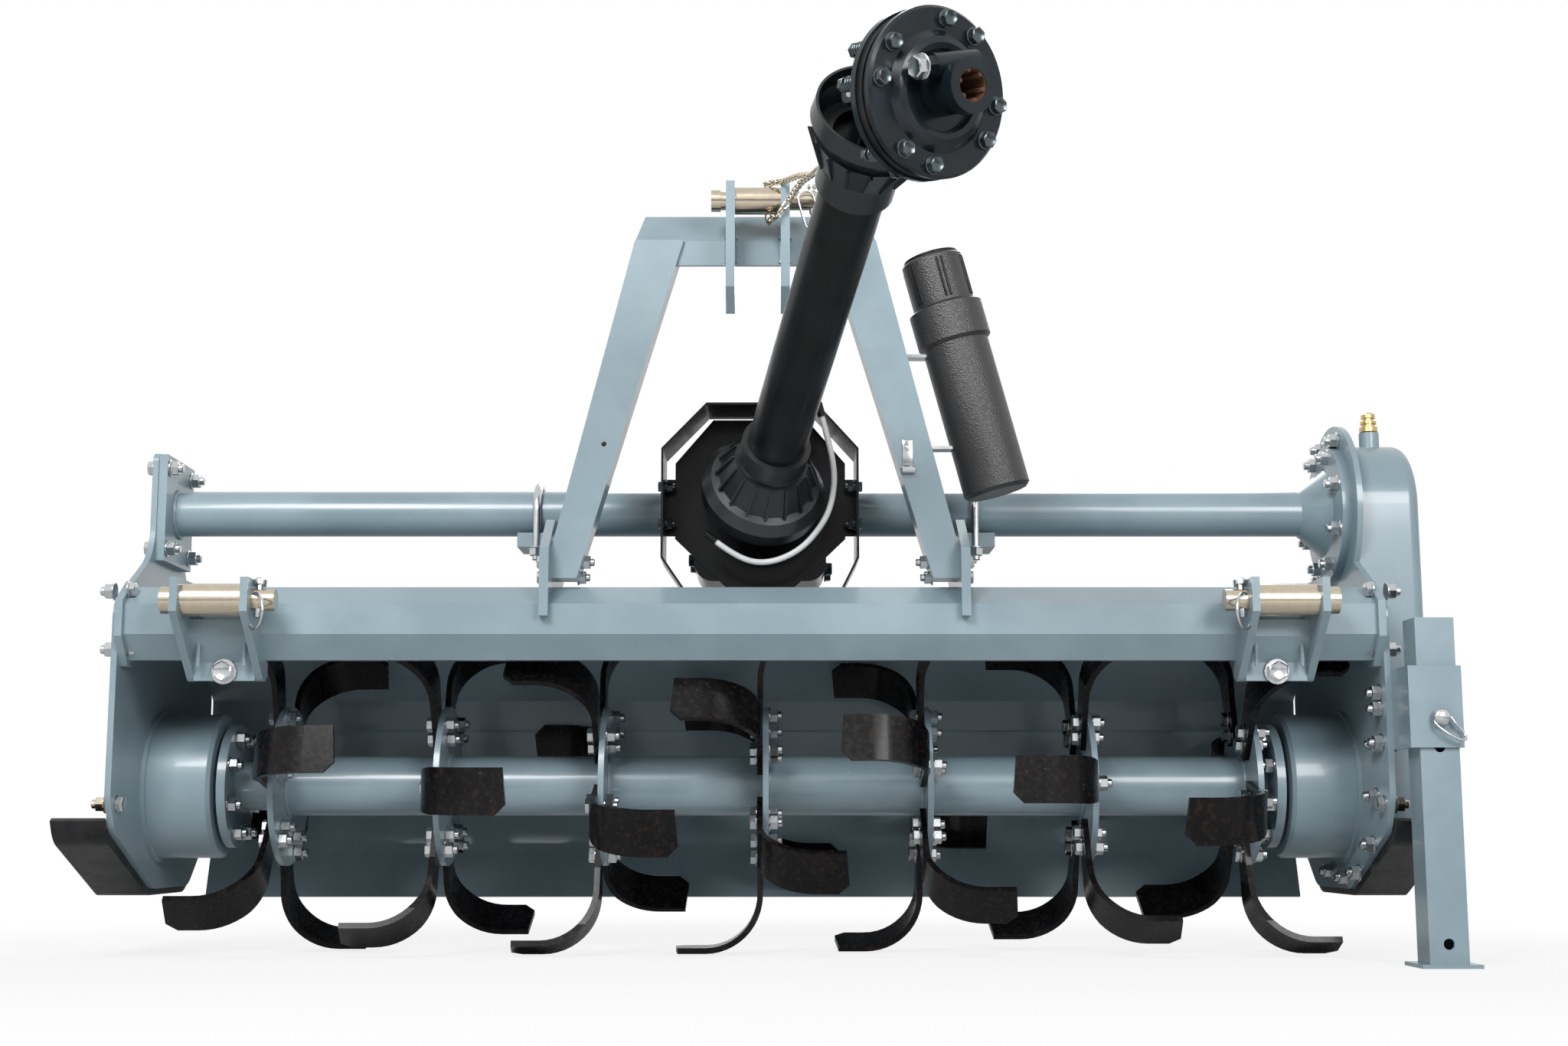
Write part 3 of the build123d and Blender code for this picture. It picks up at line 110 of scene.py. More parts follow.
def pick(obj, test, mode="FACE"):
    """In edit mode, select the faces, edges or vertices whose middle passes the test."""
    bpy.ops.object.mode_set(mode="OBJECT")
    mesh = obj.data
    for group in (mesh.vertices, mesh.edges, mesh.polygons):
        for item in group:
            item.select = False
    if mode == "FACE":
        for face in mesh.polygons:
            face.select = test(face.center, face.normal)
    elif mode == "EDGE":
        for edge in mesh.edges:
            a, b = (mesh.vertices[i].co for i in edge.vertices)
            edge.select = test((a + b) / 2, (b - a).normalized())
    else:
        for vertex in mesh.vertices:
            vertex.select = test(vertex.co, vertex.normal)
    bpy.ops.object.mode_set(mode="EDIT")
    bpy.ops.mesh.select_mode(type=mode)


def done(obj, name, smooth=35.0):
    """Leave edit mode, put the place into the mesh, name the piece and smooth its round faces."""
    if obj.mode == "EDIT":
        bpy.ops.object.mode_set(mode="OBJECT")
    hold(obj)
    bpy.ops.object.transform_apply(location=True, rotation=True, scale=True)
    obj.name = name
    obj.data.name = name
    bpy.ops.object.shade_smooth_by_angle(angle=math.radians(smooth))
    return obj


def aim(z_dir, x_dir, origin):
    """Matrix that puts a master, built along +Z, at origin with its Z along z_dir."""
    z = Vector(z_dir).normalized()
    x = Vector(x_dir)
    x = (x - z * x.dot(z)).normalized()
    y = z.cross(x)
    place = Matrix((x, y, z)).transposed().to_4x4()
    place.translation = origin
    return place


def facing(way, x, y, z):
    """Matrix that puts a master on a face that looks along way, at a place in millimetres."""
    return aim(way, UP if way[0] else RIGHT, at(x, y, z))


def ring_of(count, first_deg=0.0):
    """Evenly spaced angles round a circle, in radians."""
    return [math.radians(first_deg + 360.0 / count * k) for k in range(count)]


def copies(master, places, name, body, slot, material):
    """One piece made of a copy of the master at each place."""
    made = []
    for place in places:
        one = master.copy()
        one.data = master.data.copy()
        one.data.transform(place)
        bpy.context.collection.objects.link(one)
        made.append(one)
    deselect()
    for one in made:
        one.select_set(True)
    bpy.context.view_layer.objects.active = made[0]
    if len(made) > 1:
        bpy.ops.object.join()
    piece = bpy.context.view_layer.objects.active
    piece.name = name
    piece.data.name = name
    dress(piece, body, slot, material)
    return piece


def dress(piece, body, slot, *materials):
    """Put a piece on its body, with its materials; the slot is not used. A piece that bends between bodies has no
    body.
    """
    piece.data.materials.clear()
    for material in materials:
        piece.data.materials.append(material)
    if body:
        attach(piece, body)
    return piece


def drop(*masters):
    """Delete masters once their copies are made."""
    for master in masters:
        bpy.data.objects.remove(master)


# ---------------------------------------------------------------- finishes


def group_sockets(name, ins, outs):
    """Node group with named inputs and outputs, and its own start and end nodes."""
    tree = bpy.data.node_groups.new(name, "ShaderNodeTree")
    for label, kind, default in ins:
        socket = tree.interface.new_socket(name=label, in_out="INPUT", socket_type=kind)
        if default is not None:
            socket.default_value = default
    for label, kind in outs:
        tree.interface.new_socket(name=label, in_out="OUTPUT", socket_type=kind)
    return tree, tree.nodes.new("NodeGroupInput"), tree.nodes.new("NodeGroupOutput")


def noise(tree, vector, scale, detail=4.0, rough=0.6):
    """Noise texture on a vector."""
    node = tree.nodes.new("ShaderNodeTexNoise")
    node.inputs["Detail"].default_value = detail
    node.inputs["Roughness"].default_value = rough
    if isinstance(scale, (int, float)):
        node.inputs["Scale"].default_value = scale
    else:
        tree.links.new(scale, node.inputs["Scale"])
    tree.links.new(vector, node.inputs["Vector"])
    return node.outputs["Fac"]


def ramp(tree, value, low, high):
    """Smooth step of a value from 0 at low to 1 at high."""
    node = tree.nodes.new("ShaderNodeMapRange")
    node.interpolation_type = "SMOOTHSTEP"
    node.inputs["From Min"].default_value = low
    node.inputs["From Max"].default_value = high
    tree.links.new(value, node.inputs["Value"])
    return node.outputs["Result"]


def math_node(tree, operation, a, b):
    """Math node on two sockets or numbers."""
    node = tree.nodes.new("ShaderNodeMath")
    node.operation = operation
    for socket, value in zip(node.inputs, (a, b)):
        if isinstance(value, (int, float)):
            socket.default_value = value
        else:
            tree.links.new(value, socket)
    return node.outputs["Value"]


def mix(tree, amount, a, b):
    """Mix of two colours."""
    node = tree.nodes.new("ShaderNodeMix")
    node.data_type = "RGBA"
    tree.links.new(amount, node.inputs["Factor"])
    for label, value in (("A", a), ("B", b)):
        socket = [s for s in node.inputs if s.name == label and s.type == "RGBA"][0]
        if isinstance(value, tuple):
            socket.default_value = (*value, 1.0)
        else:
            tree.links.new(value, socket)
    return [s for s in node.outputs if s.type == "RGBA"][0]


# Soft cloudiness of a sprayed coat, dust in it, and its orange peel
coat_tree, coat_in, coat_out = group_sockets(
    "SprayedCoat",
    [("Cloud Scale", "NodeSocketFloat", 6.0), ("Peel Scale", "NodeSocketFloat", 420.0)],
    [("Cloud", "NodeSocketFloat"), ("Specks", "NodeSocketFloat"), ("Peel", "NodeSocketFloat")],
)
coat_coords = coat_tree.nodes.new("ShaderNodeTexCoord").outputs["Object"]
coat_cloud = noise(coat_tree, coat_coords, coat_in.outputs["Cloud Scale"], 5.0, 0.55)
coat_dust = noise(coat_tree, coat_coords, 190.0, 3.0, 0.7)
coat_tree.links.new(ramp(coat_tree, coat_cloud, 0.35, 0.68), coat_out.inputs["Cloud"])
coat_tree.links.new(ramp(coat_tree, coat_dust, 0.68, 0.74), coat_out.inputs["Specks"])
coat_tree.links.new(noise(coat_tree, coat_coords, coat_in.outputs["Peel Scale"], 2.0, 0.5), coat_out.inputs["Peel"])

# Scrapes and dust that a worked steel surface picks up
worn_tree, worn_in, worn_out = group_sockets(
    "WornSteel",
    [("Scale", "NodeSocketFloat", 30.0)],
    [("Scrapes", "NodeSocketFloat"), ("Dust", "NodeSocketFloat"), ("Grain", "NodeSocketFloat")],
)
worn_coords = worn_tree.nodes.new("ShaderNodeTexCoord").outputs["Object"]
worn_map = worn_tree.nodes.new("ShaderNodeMapping")
worn_map.inputs["Scale"].default_value = (1.0, 0.25, 0.25)
worn_tree.links.new(worn_coords, worn_map.inputs["Vector"])
worn_scrape = noise(worn_tree, worn_map.outputs["Vector"], worn_in.outputs["Scale"], 8.0, 0.72)
worn_dust = noise(worn_tree, worn_coords, 240.0, 2.0, 0.8)
worn_tree.links.new(ramp(worn_tree, worn_scrape, 0.56, 0.68), worn_out.inputs["Scrapes"])
worn_tree.links.new(ramp(worn_tree, worn_dust, 0.66, 0.72), worn_out.inputs["Dust"])
worn_tree.links.new(noise(worn_tree, worn_coords, 130.0, 6.0, 0.65), worn_out.inputs["Grain"])


def finish_shader(name, roughness, metallic=0.0, coat=0.0, specular=0.5):
    """New material with its Principled shader's plain numbers set on its own sockets."""
    material = bpy.data.materials.new(name)
    material.use_nodes = True
    shader = material.node_tree.nodes["Principled BSDF"]
    shader.inputs["Roughness"].default_value = roughness
    shader.inputs["Metallic"].default_value = metallic
    shader.inputs["Coat Weight"].default_value = coat
    shader.inputs["Coat Roughness"].default_value = 0.08
    shader.inputs["Specular IOR Level"].default_value = specular
    return material, material.node_tree, shader


def group_node(tree, group, **values):
    """The group as a node, with its values."""
    node = tree.nodes.new("ShaderNodeGroup")
    node.node_tree = group
    for label, value in values.items():
        node.inputs[label.replace("_", " ")].default_value = value
    return node


def bump(tree, shader, height, strength, distance):
    """Bump that feeds a shader's Normal."""
    node = tree.nodes.new("ShaderNodeBump")
    node.inputs["Strength"].default_value = strength
    node.inputs["Distance"].default_value = distance
    tree.links.new(height, node.inputs["Height"])
    tree.links.new(node.outputs["Normal"], shader.inputs["Normal"])


def enamel(name, dark, light, roughness, coat, cloud_scale=6.0, peel=0.12, specks=0.25, specular=0.5):
    """Sprayed enamel: two near tones in soft clouds, dust specks and orange peel."""
    material, tree, shader = finish_shader(name, roughness, 0.0, coat, specular)
    spray = group_node(tree, coat_tree, Cloud_Scale=cloud_scale)
    tone = mix(tree, spray.outputs["Cloud"], dark, light)
    speck = math_node(tree, "MULTIPLY", spray.outputs["Specks"], specks)
    dusted = mix(tree, speck, tone, tuple(min(1.0, c * 2.2 + 0.04) for c in light))
    tree.links.new(dusted, shader.inputs["Base Color"])
    rough = math_node(tree, "MULTIPLY_ADD", spray.outputs["Cloud"], 0.1)
    rough.node.inputs[2].default_value = roughness
    tree.links.new(rough, shader.inputs["Roughness"])
    bump(tree, shader, spray.outputs["Peel"], peel, 0.0004)
    return material


def steel(name, dark, light, roughness, metallic=1.0, scale=30.0, grain=0.1, uneven=0.22):
    """Bare or plated steel: two tones in scrapes, with a fine grain."""
    material, tree, shader = finish_shader(name, roughness, metallic)
    wear = group_node(tree, worn_tree, Scale=scale)
    tone = mix(tree, wear.outputs["Grain"], dark, light)
    scraped = mix(tree, math_node(tree, "MULTIPLY", wear.outputs["Scrapes"], 0.5), tone, tuple(c * 0.72 for c in dark))
    tree.links.new(scraped, shader.inputs["Base Color"])
    rough = math_node(tree, "MULTIPLY_ADD", wear.outputs["Grain"], uneven)
    rough.node.inputs[2].default_value = roughness - uneven * 0.4
    tree.links.new(rough, shader.inputs["Roughness"])
    bump(tree, shader, wear.outputs["Grain"], grain, 0.0005)
    return material


slate = enamel("SlateEnamel", (0.19, 0.262, 0.3), (0.235, 0.315, 0.355), 0.3, 0.3)
gloss_black = enamel(
    "GlossBlack", (0.003, 0.0035, 0.004), (0.007, 0.0075, 0.009), 0.2, 0.06,
    cloud_scale=9.0, peel=0.1, specks=0.15, specular=0.16,
)
soft_black = enamel(
    "MouldedBlack", (0.003, 0.0035, 0.004), (0.007, 0.0075, 0.0085), 0.26, 0.0,
    cloud_scale=12.0, peel=0.08, specks=0.12, specular=0.2,
)
# Clutch's blue-black paint; its lighter blue tone is also painted sheen that stands in for the clutch's bluish
# reflections
clutch_black_sheen = enamel(
    "ClutchBlackSheen", (0.003, 0.0055, 0.0075), (0.008, 0.0135, 0.0185), 0.2, 0.1,
    cloud_scale=9.0, peel=0.1, specks=0.2, specular=0.28,
)
bell_black = enamel(
    "BellBlack", (0.008, 0.0095, 0.0105), (0.017, 0.019, 0.021), 0.3, 0.1,
    cloud_scale=12.0, peel=0.08, specks=0.2, specular=0.4,
)
grey_jacket = enamel(
    "GreyJacket", (0.42, 0.43, 0.44), (0.5, 0.51, 0.52), 0.35, 0.0, cloud_scale=18.0, peel=0.05, specks=0.1
)
weld_paint = enamel("PaintedWeld", (0.175, 0.243, 0.278), (0.22, 0.295, 0.335), 0.34, 0.2, cloud_scale=40.0, peel=0.5)
bare_steel = steel("BareSteel", (0.34, 0.34, 0.35), (0.55, 0.55, 0.56), 0.34)
clear_zinc = steel("ClearZinc", (0.46, 0.48, 0.49), (0.6, 0.62, 0.63), 0.2, scale=60.0, grain=0.01, uneven=0.08)
yellow_zinc = steel("YellowZinc", (0.5, 0.42, 0.31), (0.62, 0.56, 0.46), 0.2, scale=22.0, grain=0.01, uneven=0.08)
bolt_black = steel(
    "BlackedBolt", (0.05, 0.062, 0.07), (0.12, 0.145, 0.16), 0.26, 0.85, scale=60.0, grain=0.02, uneven=0.1
)
rust = steel("RustySpline", (0.04, 0.015, 0.008), (0.13, 0.055, 0.022), 0.7, 0.2, scale=80.0, grain=0.4)
brass = steel("Brass", (0.5, 0.36, 0.14), (0.68, 0.52, 0.24), 0.28, scale=60.0, grain=0.02, uneven=0.1)

DIRT = (0.2, 0.2, 0.19)


def browned(name, dark, light, brown, roughness, coat, specular, low, high, speck, relief):
    """Black paint, browned where its grain passes from low to high, with pale specks of dirt."""
    material, tree, shader = finish_shader(name, roughness, 0.0, coat, specular)
    spray = group_node(tree, coat_tree, Cloud_Scale=26.0)
    wear = group_node(tree, worn_tree, Scale=14.0)
    tone = mix(tree, spray.outputs["Cloud"], dark, light)
    patch = ramp(tree, wear.outputs["Grain"], low, high)
    tone = mix(tree, math_node(tree, "MULTIPLY", patch, 0.7), tone, brown)
    tone = mix(tree, math_node(tree, "MULTIPLY", spray.outputs["Specks"], speck), tone, DIRT)
    tree.links.new(tone, shader.inputs["Base Color"])
    rough = math_node(tree, "MULTIPLY_ADD", wear.outputs["Grain"], 0.3)
    rough.node.inputs[2].default_value = roughness - 0.12
    tree.links.new(rough, shader.inputs["Roughness"])
    bump(tree, shader, wear.outputs["Grain"], relief, 0.0012)
    return material


tine_black = browned(
    "TineBlack", (0.0015, 0.0015, 0.002), (0.004, 0.004, 0.005), (0.022, 0.0115, 0.0055),
    roughness=0.24, coat=0.08, specular=0.16, low=0.5, high=0.66, speck=0.45, relief=0.07,
)
skid_black = browned(
    "SkidPaint", (0.008, 0.009, 0.01), (0.022, 0.024, 0.026), (0.03, 0.018, 0.01),
    roughness=0.4, coat=0.0, specular=0.2, low=0.5, high=0.7, speck=0.2, relief=0.2,
)

# Pebbled plastic of the manual tube
pebbled, pebbled_tree, pebbled_shader = finish_shader("PebbledPlastic", 0.4, 0.0, 0.0, 0.7)
pebbled_coords = pebbled_tree.nodes.new("ShaderNodeTexCoord").outputs["Object"]
pebble_cells = pebbled_tree.nodes.new("ShaderNodeTexVoronoi")
pebble_cells.inputs["Scale"].default_value = 520.0
pebbled_tree.links.new(pebbled_coords, pebble_cells.inputs["Vector"])
pebbled_cloud = noise(pebbled_tree, pebbled_coords, 35.0)
pebbled_tone = mix(pebbled_tree, pebbled_cloud, (0.008, 0.008, 0.009), (0.018, 0.018, 0.02))
pebbled_tree.links.new(pebbled_tone, pebbled_shader.inputs["Base Color"])
bump(pebbled_tree, pebbled_shader, pebble_cells.outputs["Distance"], 0.6, 0.0008)

SLATE_NODES = [
    "side_plate_left", "side_plate_right", "front_beam", "hood", "tailboard", "axle_tube_left", "axle_tube_right",
    "mast_leg_left", "mast_leg_right", "mast_cross", "mast_carriers", "top_hitch_lugs", "lower_hitch_left",
    "lower_hitch_right", "side_case", "bearing_drum_left", "bearing_drum_right", "rotor_tube", "rotor_stubs",
    "rotor_flanges", "stand_sleeve", "stand_leg",
]
FINISHES = {
    "tines": tine_black,
    "skid_left": skid_black,
    "skid_right": skid_black,
    "gearbox": gloss_black,
    "joint_guard": gloss_black,
    "input_yoke": gloss_black,
    "shaft_yoke_lower": gloss_black,
    "shaft_yoke_upper": gloss_black,
    "clutch_yoke": gloss_black,
    "clutch_back_plate": clutch_black_sheen,
    "clutch_front_plate": clutch_black_sheen,
    "clutch_hub": clutch_black_sheen,
    "clutch_discs": skid_black,
    "drive_shaft_outer": gloss_black,
    "drive_shaft_inner": bare_steel,
    "cross_lower": bare_steel,
    "cross_upper": bare_steel,
    "shield_tube_lower": soft_black,
    "shield_tube_upper": soft_black,
    "joint_bell_lower": bell_black,
    "joint_bell_upper": bell_black,
    "manual_tube": pebbled,
    "manual_tabs": clear_zinc,
    "top_link_pin": yellow_zinc,
    "lower_pin_left": yellow_zinc,
    "lower_pin_right": yellow_zinc,
    "tailboard_hinge_rod": clear_zinc,
}
for node_name, node in nodes.items():
    material = slate if node_name in SLATE_NODES else FINISHES[node_name]
    node.data.materials.clear()
    node.data.materials.append(material)

# ---------------------------------------------------------------- masters

WASHER_T = 2.0
TOUCH = 1e-5


def lathe(rings, steps=24):
    """Turned piece on the Z axis: radius and height of each ring, from the bottom up, in millimetres."""
    radius, height = rings[0]
    place = (0, 0, height * MM)
    bpy.ops.mesh.primitive_circle_add(vertices=steps, radius=radius * MM, fill_type="NGON", location=place)
    piece = bpy.context.object
    bpy.ops.object.transform_apply(location=True, rotation=True, scale=True)
    bpy.ops.object.mode_set(mode="EDIT")
    bpy.ops.mesh.select_all(action="SELECT")
    for next_radius, next_height in rings[1:]:
        bpy.ops.mesh.extrude_region_move(TRANSFORM_OT_translate={"value": (0, 0, (next_height - height) * MM)})
        grow = next_radius / radius
        bpy.ops.transform.resize(value=(grow, grow, 1.0), center_override=(0, 0, next_height * MM))
        radius, height = next_radius, next_height
    bpy.ops.mesh.select_all(action="SELECT")
    bpy.ops.mesh.normals_make_consistent(inside=False)
    return done(piece, "turned_master")


def joined(*parts):
    """Several pieces joined into the last one."""
    deselect()
    for part in parts:
        part.select_set(True)
    bpy.context.view_layer.objects.active = parts[-1]
    bpy.ops.object.join()
    return parts[-1]


def hex_head(across, height, washer, dish=0.0):
    """Hex head on its washer, along +Z from the face that it clamps; dish sinks the middle of its top."""
    ring = lathe([(washer - 0.6, 0.0), (washer, 0.6), (washer, 1.6), (washer - 0.8, 2.2)], 20)
    corner, middle = across / math.sqrt(3) * MM, (0, 0, (WASHER_T + height / 2) * MM)
    bpy.ops.mesh.primitive_cylinder_add(vertices=6, radius=corner, depth=height * MM, location=middle)
    head = bpy.context.object
    bpy.ops.object.transform_apply(location=True, rotation=True, scale=True)
    pick(head, lambda centre, normal: normal.z > 0.9)
    bpy.ops.mesh.inset(thickness=across * 0.07 * MM, depth=0.0)
    bpy.ops.transform.translate(value=(0, 0, across * 0.05 * MM))
    if dish:
        bpy.ops.mesh.inset(thickness=across * 0.1 * MM, depth=-dish * MM)
    return done(joined(ring, head), "hex_head_master")


def hex_nut(across, height, washer, thread_r, thread_len):
    """Nut with its washer and the bolt's end, along +Z from the face that it clamps."""
    top = WASHER_T + height
    end = lathe([(thread_r, top - 1.0), (thread_r, top + thread_len - 1.2), (thread_r - 1.2, top + thread_len)], 14)
    return done(joined(end, hex_head(across, height, washer)), "hex_nut_master")


def wire_loop(ring_r, wire_r, straight=0.0, steps=20, sides=8):
    """Oval loop of wire in the XY plane, longer along X by its straight sides."""
    bpy.ops.mesh.primitive_torus_add(
        major_radius=ring_r * MM, minor_radius=wire_r * MM, major_segments=steps, minor_segments=sides
    )
    loop = bpy.context.object
    if straight:
        for side in SIDES:
            pick(loop, lambda place, normal: side * place.x > TOUCH, "VERT")
            bpy.ops.transform.translate(value=(side * straight / 2 * MM, 0, 0))
    return done(loop, "wire_loop_master", 60.0)


def bent_wire(points, radius, steps=8):
    """Round wire through the bends that the points give, closed at both ends."""
    bpy.ops.curve.primitive_nurbs_path_add(location=(0, 0, 0))
    wire = bpy.context.object
    wire.data.splines.clear()
    spline = wire.data.splines.new("NURBS")
    spline.points.add(len(points) - 1)
    for point, place in zip(spline.points, points):
        point.co = (*place, 1.0)
    spline.order_u = 3
    spline.use_endpoint_u = True
    wire.data.resolution_u = steps
    wire.data.bevel_depth = radius * MM
    wire.data.bevel_resolution = 2
    wire.data.use_fill_caps = True
    hold(wire)
    bpy.ops.object.convert(target="MESH")
    return done(bpy.context.object, "bent_wire", 60.0)


def u_bolt(bend_r, rod_r, leg):
    """Round bar bent over a tube, in the YZ plane with its legs down."""
    bpy.ops.mesh.primitive_torus_add(
        major_radius=bend_r * MM, minor_radius=rod_r * MM, major_segments=32, minor_segments=12,
        rotation=(0, math.radians(90), 0),
    )
    bar = bpy.context.object
    bpy.ops.object.transform_apply(location=True, rotation=True, scale=True)
    pick(bar, lambda place, normal: place.z < -TOUCH, "VERT")
    bpy.ops.mesh.delete(type="VERT")
    pick(bar, lambda middle, along: abs(middle.z) < TOUCH, "EDGE")
    bpy.ops.mesh.extrude_edges_move(TRANSFORM_OT_translate={"value": (0, 0, -leg * MM)})
    bpy.ops.mesh.select_all(action="SELECT")
    bpy.ops.mesh.fill_holes(sides=0)
    bpy.ops.mesh.select_all(action="SELECT")
    bpy.ops.mesh.normals_make_consistent(inside=False)
    return done(bar, "u_bolt_master")


def bevelled_plate(width, depth, height, edge, segments, name):
    """Flat plate round the origin with bevelled edges, in millimetres."""
    bpy.ops.mesh.primitive_cube_add(size=1.0, location=(0, 0, 0))
    plate = bpy.context.object
    plate.scale = (width * MM, depth * MM, height * MM)
    bpy.ops.object.transform_apply(location=True, rotation=True, scale=True)
    bevel = plate.modifiers.new("Edge", "BEVEL")
    bevel.width = edge * MM
    bevel.segments = segments
    bpy.ops.object.modifier_apply(modifier="Edge")
    return done(plate, name)


def weld_bead(start, end, radius):
    """Rippled weld bead along a straight seam."""
    along = end - start
    steps = max(3, int(along.length / (radius * 1.3 * MM)))
    bpy.ops.mesh.primitive_cylinder_add(vertices=8, radius=radius * MM, depth=along.length)
    bead = bpy.context.object
    pick(bead, lambda middle, way: abs(way.z) > 0.9, "EDGE")
    bpy.ops.mesh.subdivide(number_cuts=steps)
    gap = along.length / (steps + 1)
    pick(bead, lambda place, normal: round((place.z + along.length / 2) / gap) % 2 == 1, "VERT")
    bpy.ops.transform.resize(value=(0.78, 0.78, 1.0), center_override=(0, 0, 0))
    done(bead, "weld_bead", 60.0)
    bead.data.transform(aim(along, (0.3, 0.5, 0.8), (start + end) / 2))
    return bead


# Width across flats, height and washer's radius; nuts add their thread's radius and length, the large bolt its dish
bolt_m12 = hex_head(18.0, 7.5, 12.0)
nut_m12 = hex_nut(18.0, 10.0, 12.0, 6.0, 7.0)
bolt_m10 = hex_head(16.0, 6.5, 10.0)
nut_m10 = hex_nut(16.0, 8.5, 10.5, 5.0, 6.0)
bolt_m8 = hex_head(13.0, 5.3, 8.5)
nut_m8 = hex_nut(13.0, 6.5, 8.5, 4.0, 5.0)
bolt_m16 = hex_head(24.0, 9.0, 17.0, 1.2)

# ---------------------------------------------------------------- rotor fasteners

# Two bolts through each tine's root and its flange
TINE_BOLT_RADII = (76.0, 99.0)
FLANGE_HALF_T = 4.0
TINE_T = 8.0
tine_heads, tine_nuts = [], []
for i in range(FLANGE_COUNT):
    flange_x = FLANGE_FIRST + i * FLANGE_PITCH
    for turn in ring_of(6, TINE_FIRST_DEG + i * TINE_STEP_DEG):
        radial = Vector((0, -math.cos(turn), math.sin(turn)))
        for bolt_r in TINE_BOLT_RADII:
            off = radial * bolt_r * MM
            tine_heads.append(aim(LEFT, radial, at(flange_x - FLANGE_HALF_T - TINE_T, 0, 0) + off))
            tine_nuts.append(aim(RIGHT, radial, at(flange_x + FLANGE_HALF_T, 0, 0) + off))
copies(bolt_m12, tine_heads, "tine_bolt_heads", "rotor", "zinc_plate", clear_zinc)
copies(nut_m12, tine_nuts, "tine_bolt_nuts", "rotor", "zinc_plate", clear_zinc)

# Bolts round the stub flanges beside the drums
STUB_FACE_X, STUB_BOLT_R = 720.0, 70.0
stub_bolts = []
for side in SIDES:
    for turn in ring_of(8, 22.5):
        radial = Vector((0, math.cos(turn), math.sin(turn)))
        stub_bolts.append(aim((-side, 0, 0), radial, at(side * STUB_FACE_X, 0, 0) + radial * STUB_BOLT_R * MM))
copies(nut_m12, stub_bolts, "stub_flange_bolts", "rotor", "zinc_plate", clear_zinc)

# Welds between the rotor's tube and its flanges
ring_weld = wire_loop(42.5, 3.0, 0.0, 40, 6)
ring_places = []
for i in range(FLANGE_COUNT):
    for side in SIDES:
        ring_places.append(facing(RIGHT, FLANGE_FIRST + i * FLANGE_PITCH + side * (FLANGE_HALF_T + 1.0), 0, 0))
copies(ring_weld, ring_places, "rotor_welds", "rotor", "grey_paint", weld_paint)

# ---------------------------------------------------------------- frame fasteners

# Axle flange on the left plate, bell flange on the right one, each 12 mm thick; (y, z) of each bolt
AXLE_FLANGE_T = 12.0
BELL_BOLT_R = 82.0
left_flange = [(y, z) for y in (-68.0, 40.0) for z in (328.0, 442.0)]
right_flange = []
for turn in ring_of(8, 22.5):
    right_flange.append((AXLE_Y + BELL_BOLT_R * math.cos(turn), AXLE_Z + BELL_BOLT_R * math.sin(turn)))
plate_nuts = [facing(RIGHT, -PLATE_IN + AXLE_FLANGE_T, y, z) for y, z in left_flange]
plate_nuts += [facing(LEFT, PLATE_IN - AXLE_FLANGE_T, y, z) for y, z in right_flange]
plate_heads = [facing(LEFT, -PLATE_OUT, y, z) for y, z in left_flange]

# Side case through the right plate
CASE_BOLTS = [
    (-205, 117), (-187, 50), (-170, -17), (-148, -80), (-74, -119), (-15, -126), (60, -118),
    (-52, 484), (24, 484), (44, 296),
]
plate_nuts += [facing(LEFT, PLATE_IN, y, z) for y, z in CASE_BOLTS]

# Beam caps and skids on both plates, stand bracket on the right one
CAP_BOLTS = ((-222.0, 250.0), (-212.0, 174.0))
CAP_T = 10.0
SKID_BOLTS = ((-200.0, -28.0), (150.0, -30.0))
SKID_T = 6.0
STAND_BOLTS = ((-206.0, 96.0), (-206.0, 52.0))
STAND_PAD_T = 8.0
skid_nuts = []
for side in SIDES:
    for y, z in CAP_BOLTS:
        plate_heads.append(facing((-side, 0, 0), side * (PLATE_IN - CAP_T), y - 2.0, z + 2.0))
        plate_nuts.append(facing((side, 0, 0), side * PLATE_OUT, y, z))
    for y, z in SKID_BOLTS:
        plate_heads.append(facing((-side, 0, 0), side * PLATE_IN, y, z))
        skid_nuts.append(facing((side, 0, 0), side * (PLATE_OUT + SKID_T), y, z))
for y, z in STAND_BOLTS:
    plate_nuts.append(facing(LEFT, PLATE_IN, y, z))
    plate_heads.append(facing(RIGHT, PLATE_OUT + STAND_PAD_T, y, z))
copies(bolt_m12, plate_heads, "plate_bolt_heads", "root", "zinc_plate", clear_zinc)
copies(nut_m12, plate_nuts, "plate_bolt_nuts", "root", "zinc_plate", clear_zinc)
copies(nut_m12, skid_nuts, "skid_nuts", "root", "zinc_plate", yellow_zinc)

# Mast's feet on their carriers: heads outside, nuts on the legs' sloping inner side
FOOT_OUT, FOOT_IN, FOOT_Z, LEG_LEAN = 282.0, 238.0, 268.0, 0.3
foot_heads, foot_nuts = [], []
for side in SIDES:
    for y, z in ((-196.0, 292.0), (-192.0, 272.0)):
        foot_heads.append(facing((side, 0, 0), MAST_X + side * FOOT_OUT, y, z))
        foot_nuts.append(facing((-side, 0, 0), MAST_X + side * (FOOT_IN - (z - FOOT_Z) * LEG_LEAN), y, z))
copies(bolt_m10, foot_heads, "mast_foot_heads", "root", "zinc_plate", clear_zinc)
copies(nut_m10, foot_nuts, "mast_foot_nuts", "root", "zinc_plate", clear_zinc)

# Large bolts below the lower pins
hitch_bolts = [facing(FRONT, side * HITCH_X, -226.0, 144.0) for side in SIDES]
copies(bolt_m16, hitch_bolts, "lower_hitch_bolts", "root", "zinc_plate", clear_zinc)

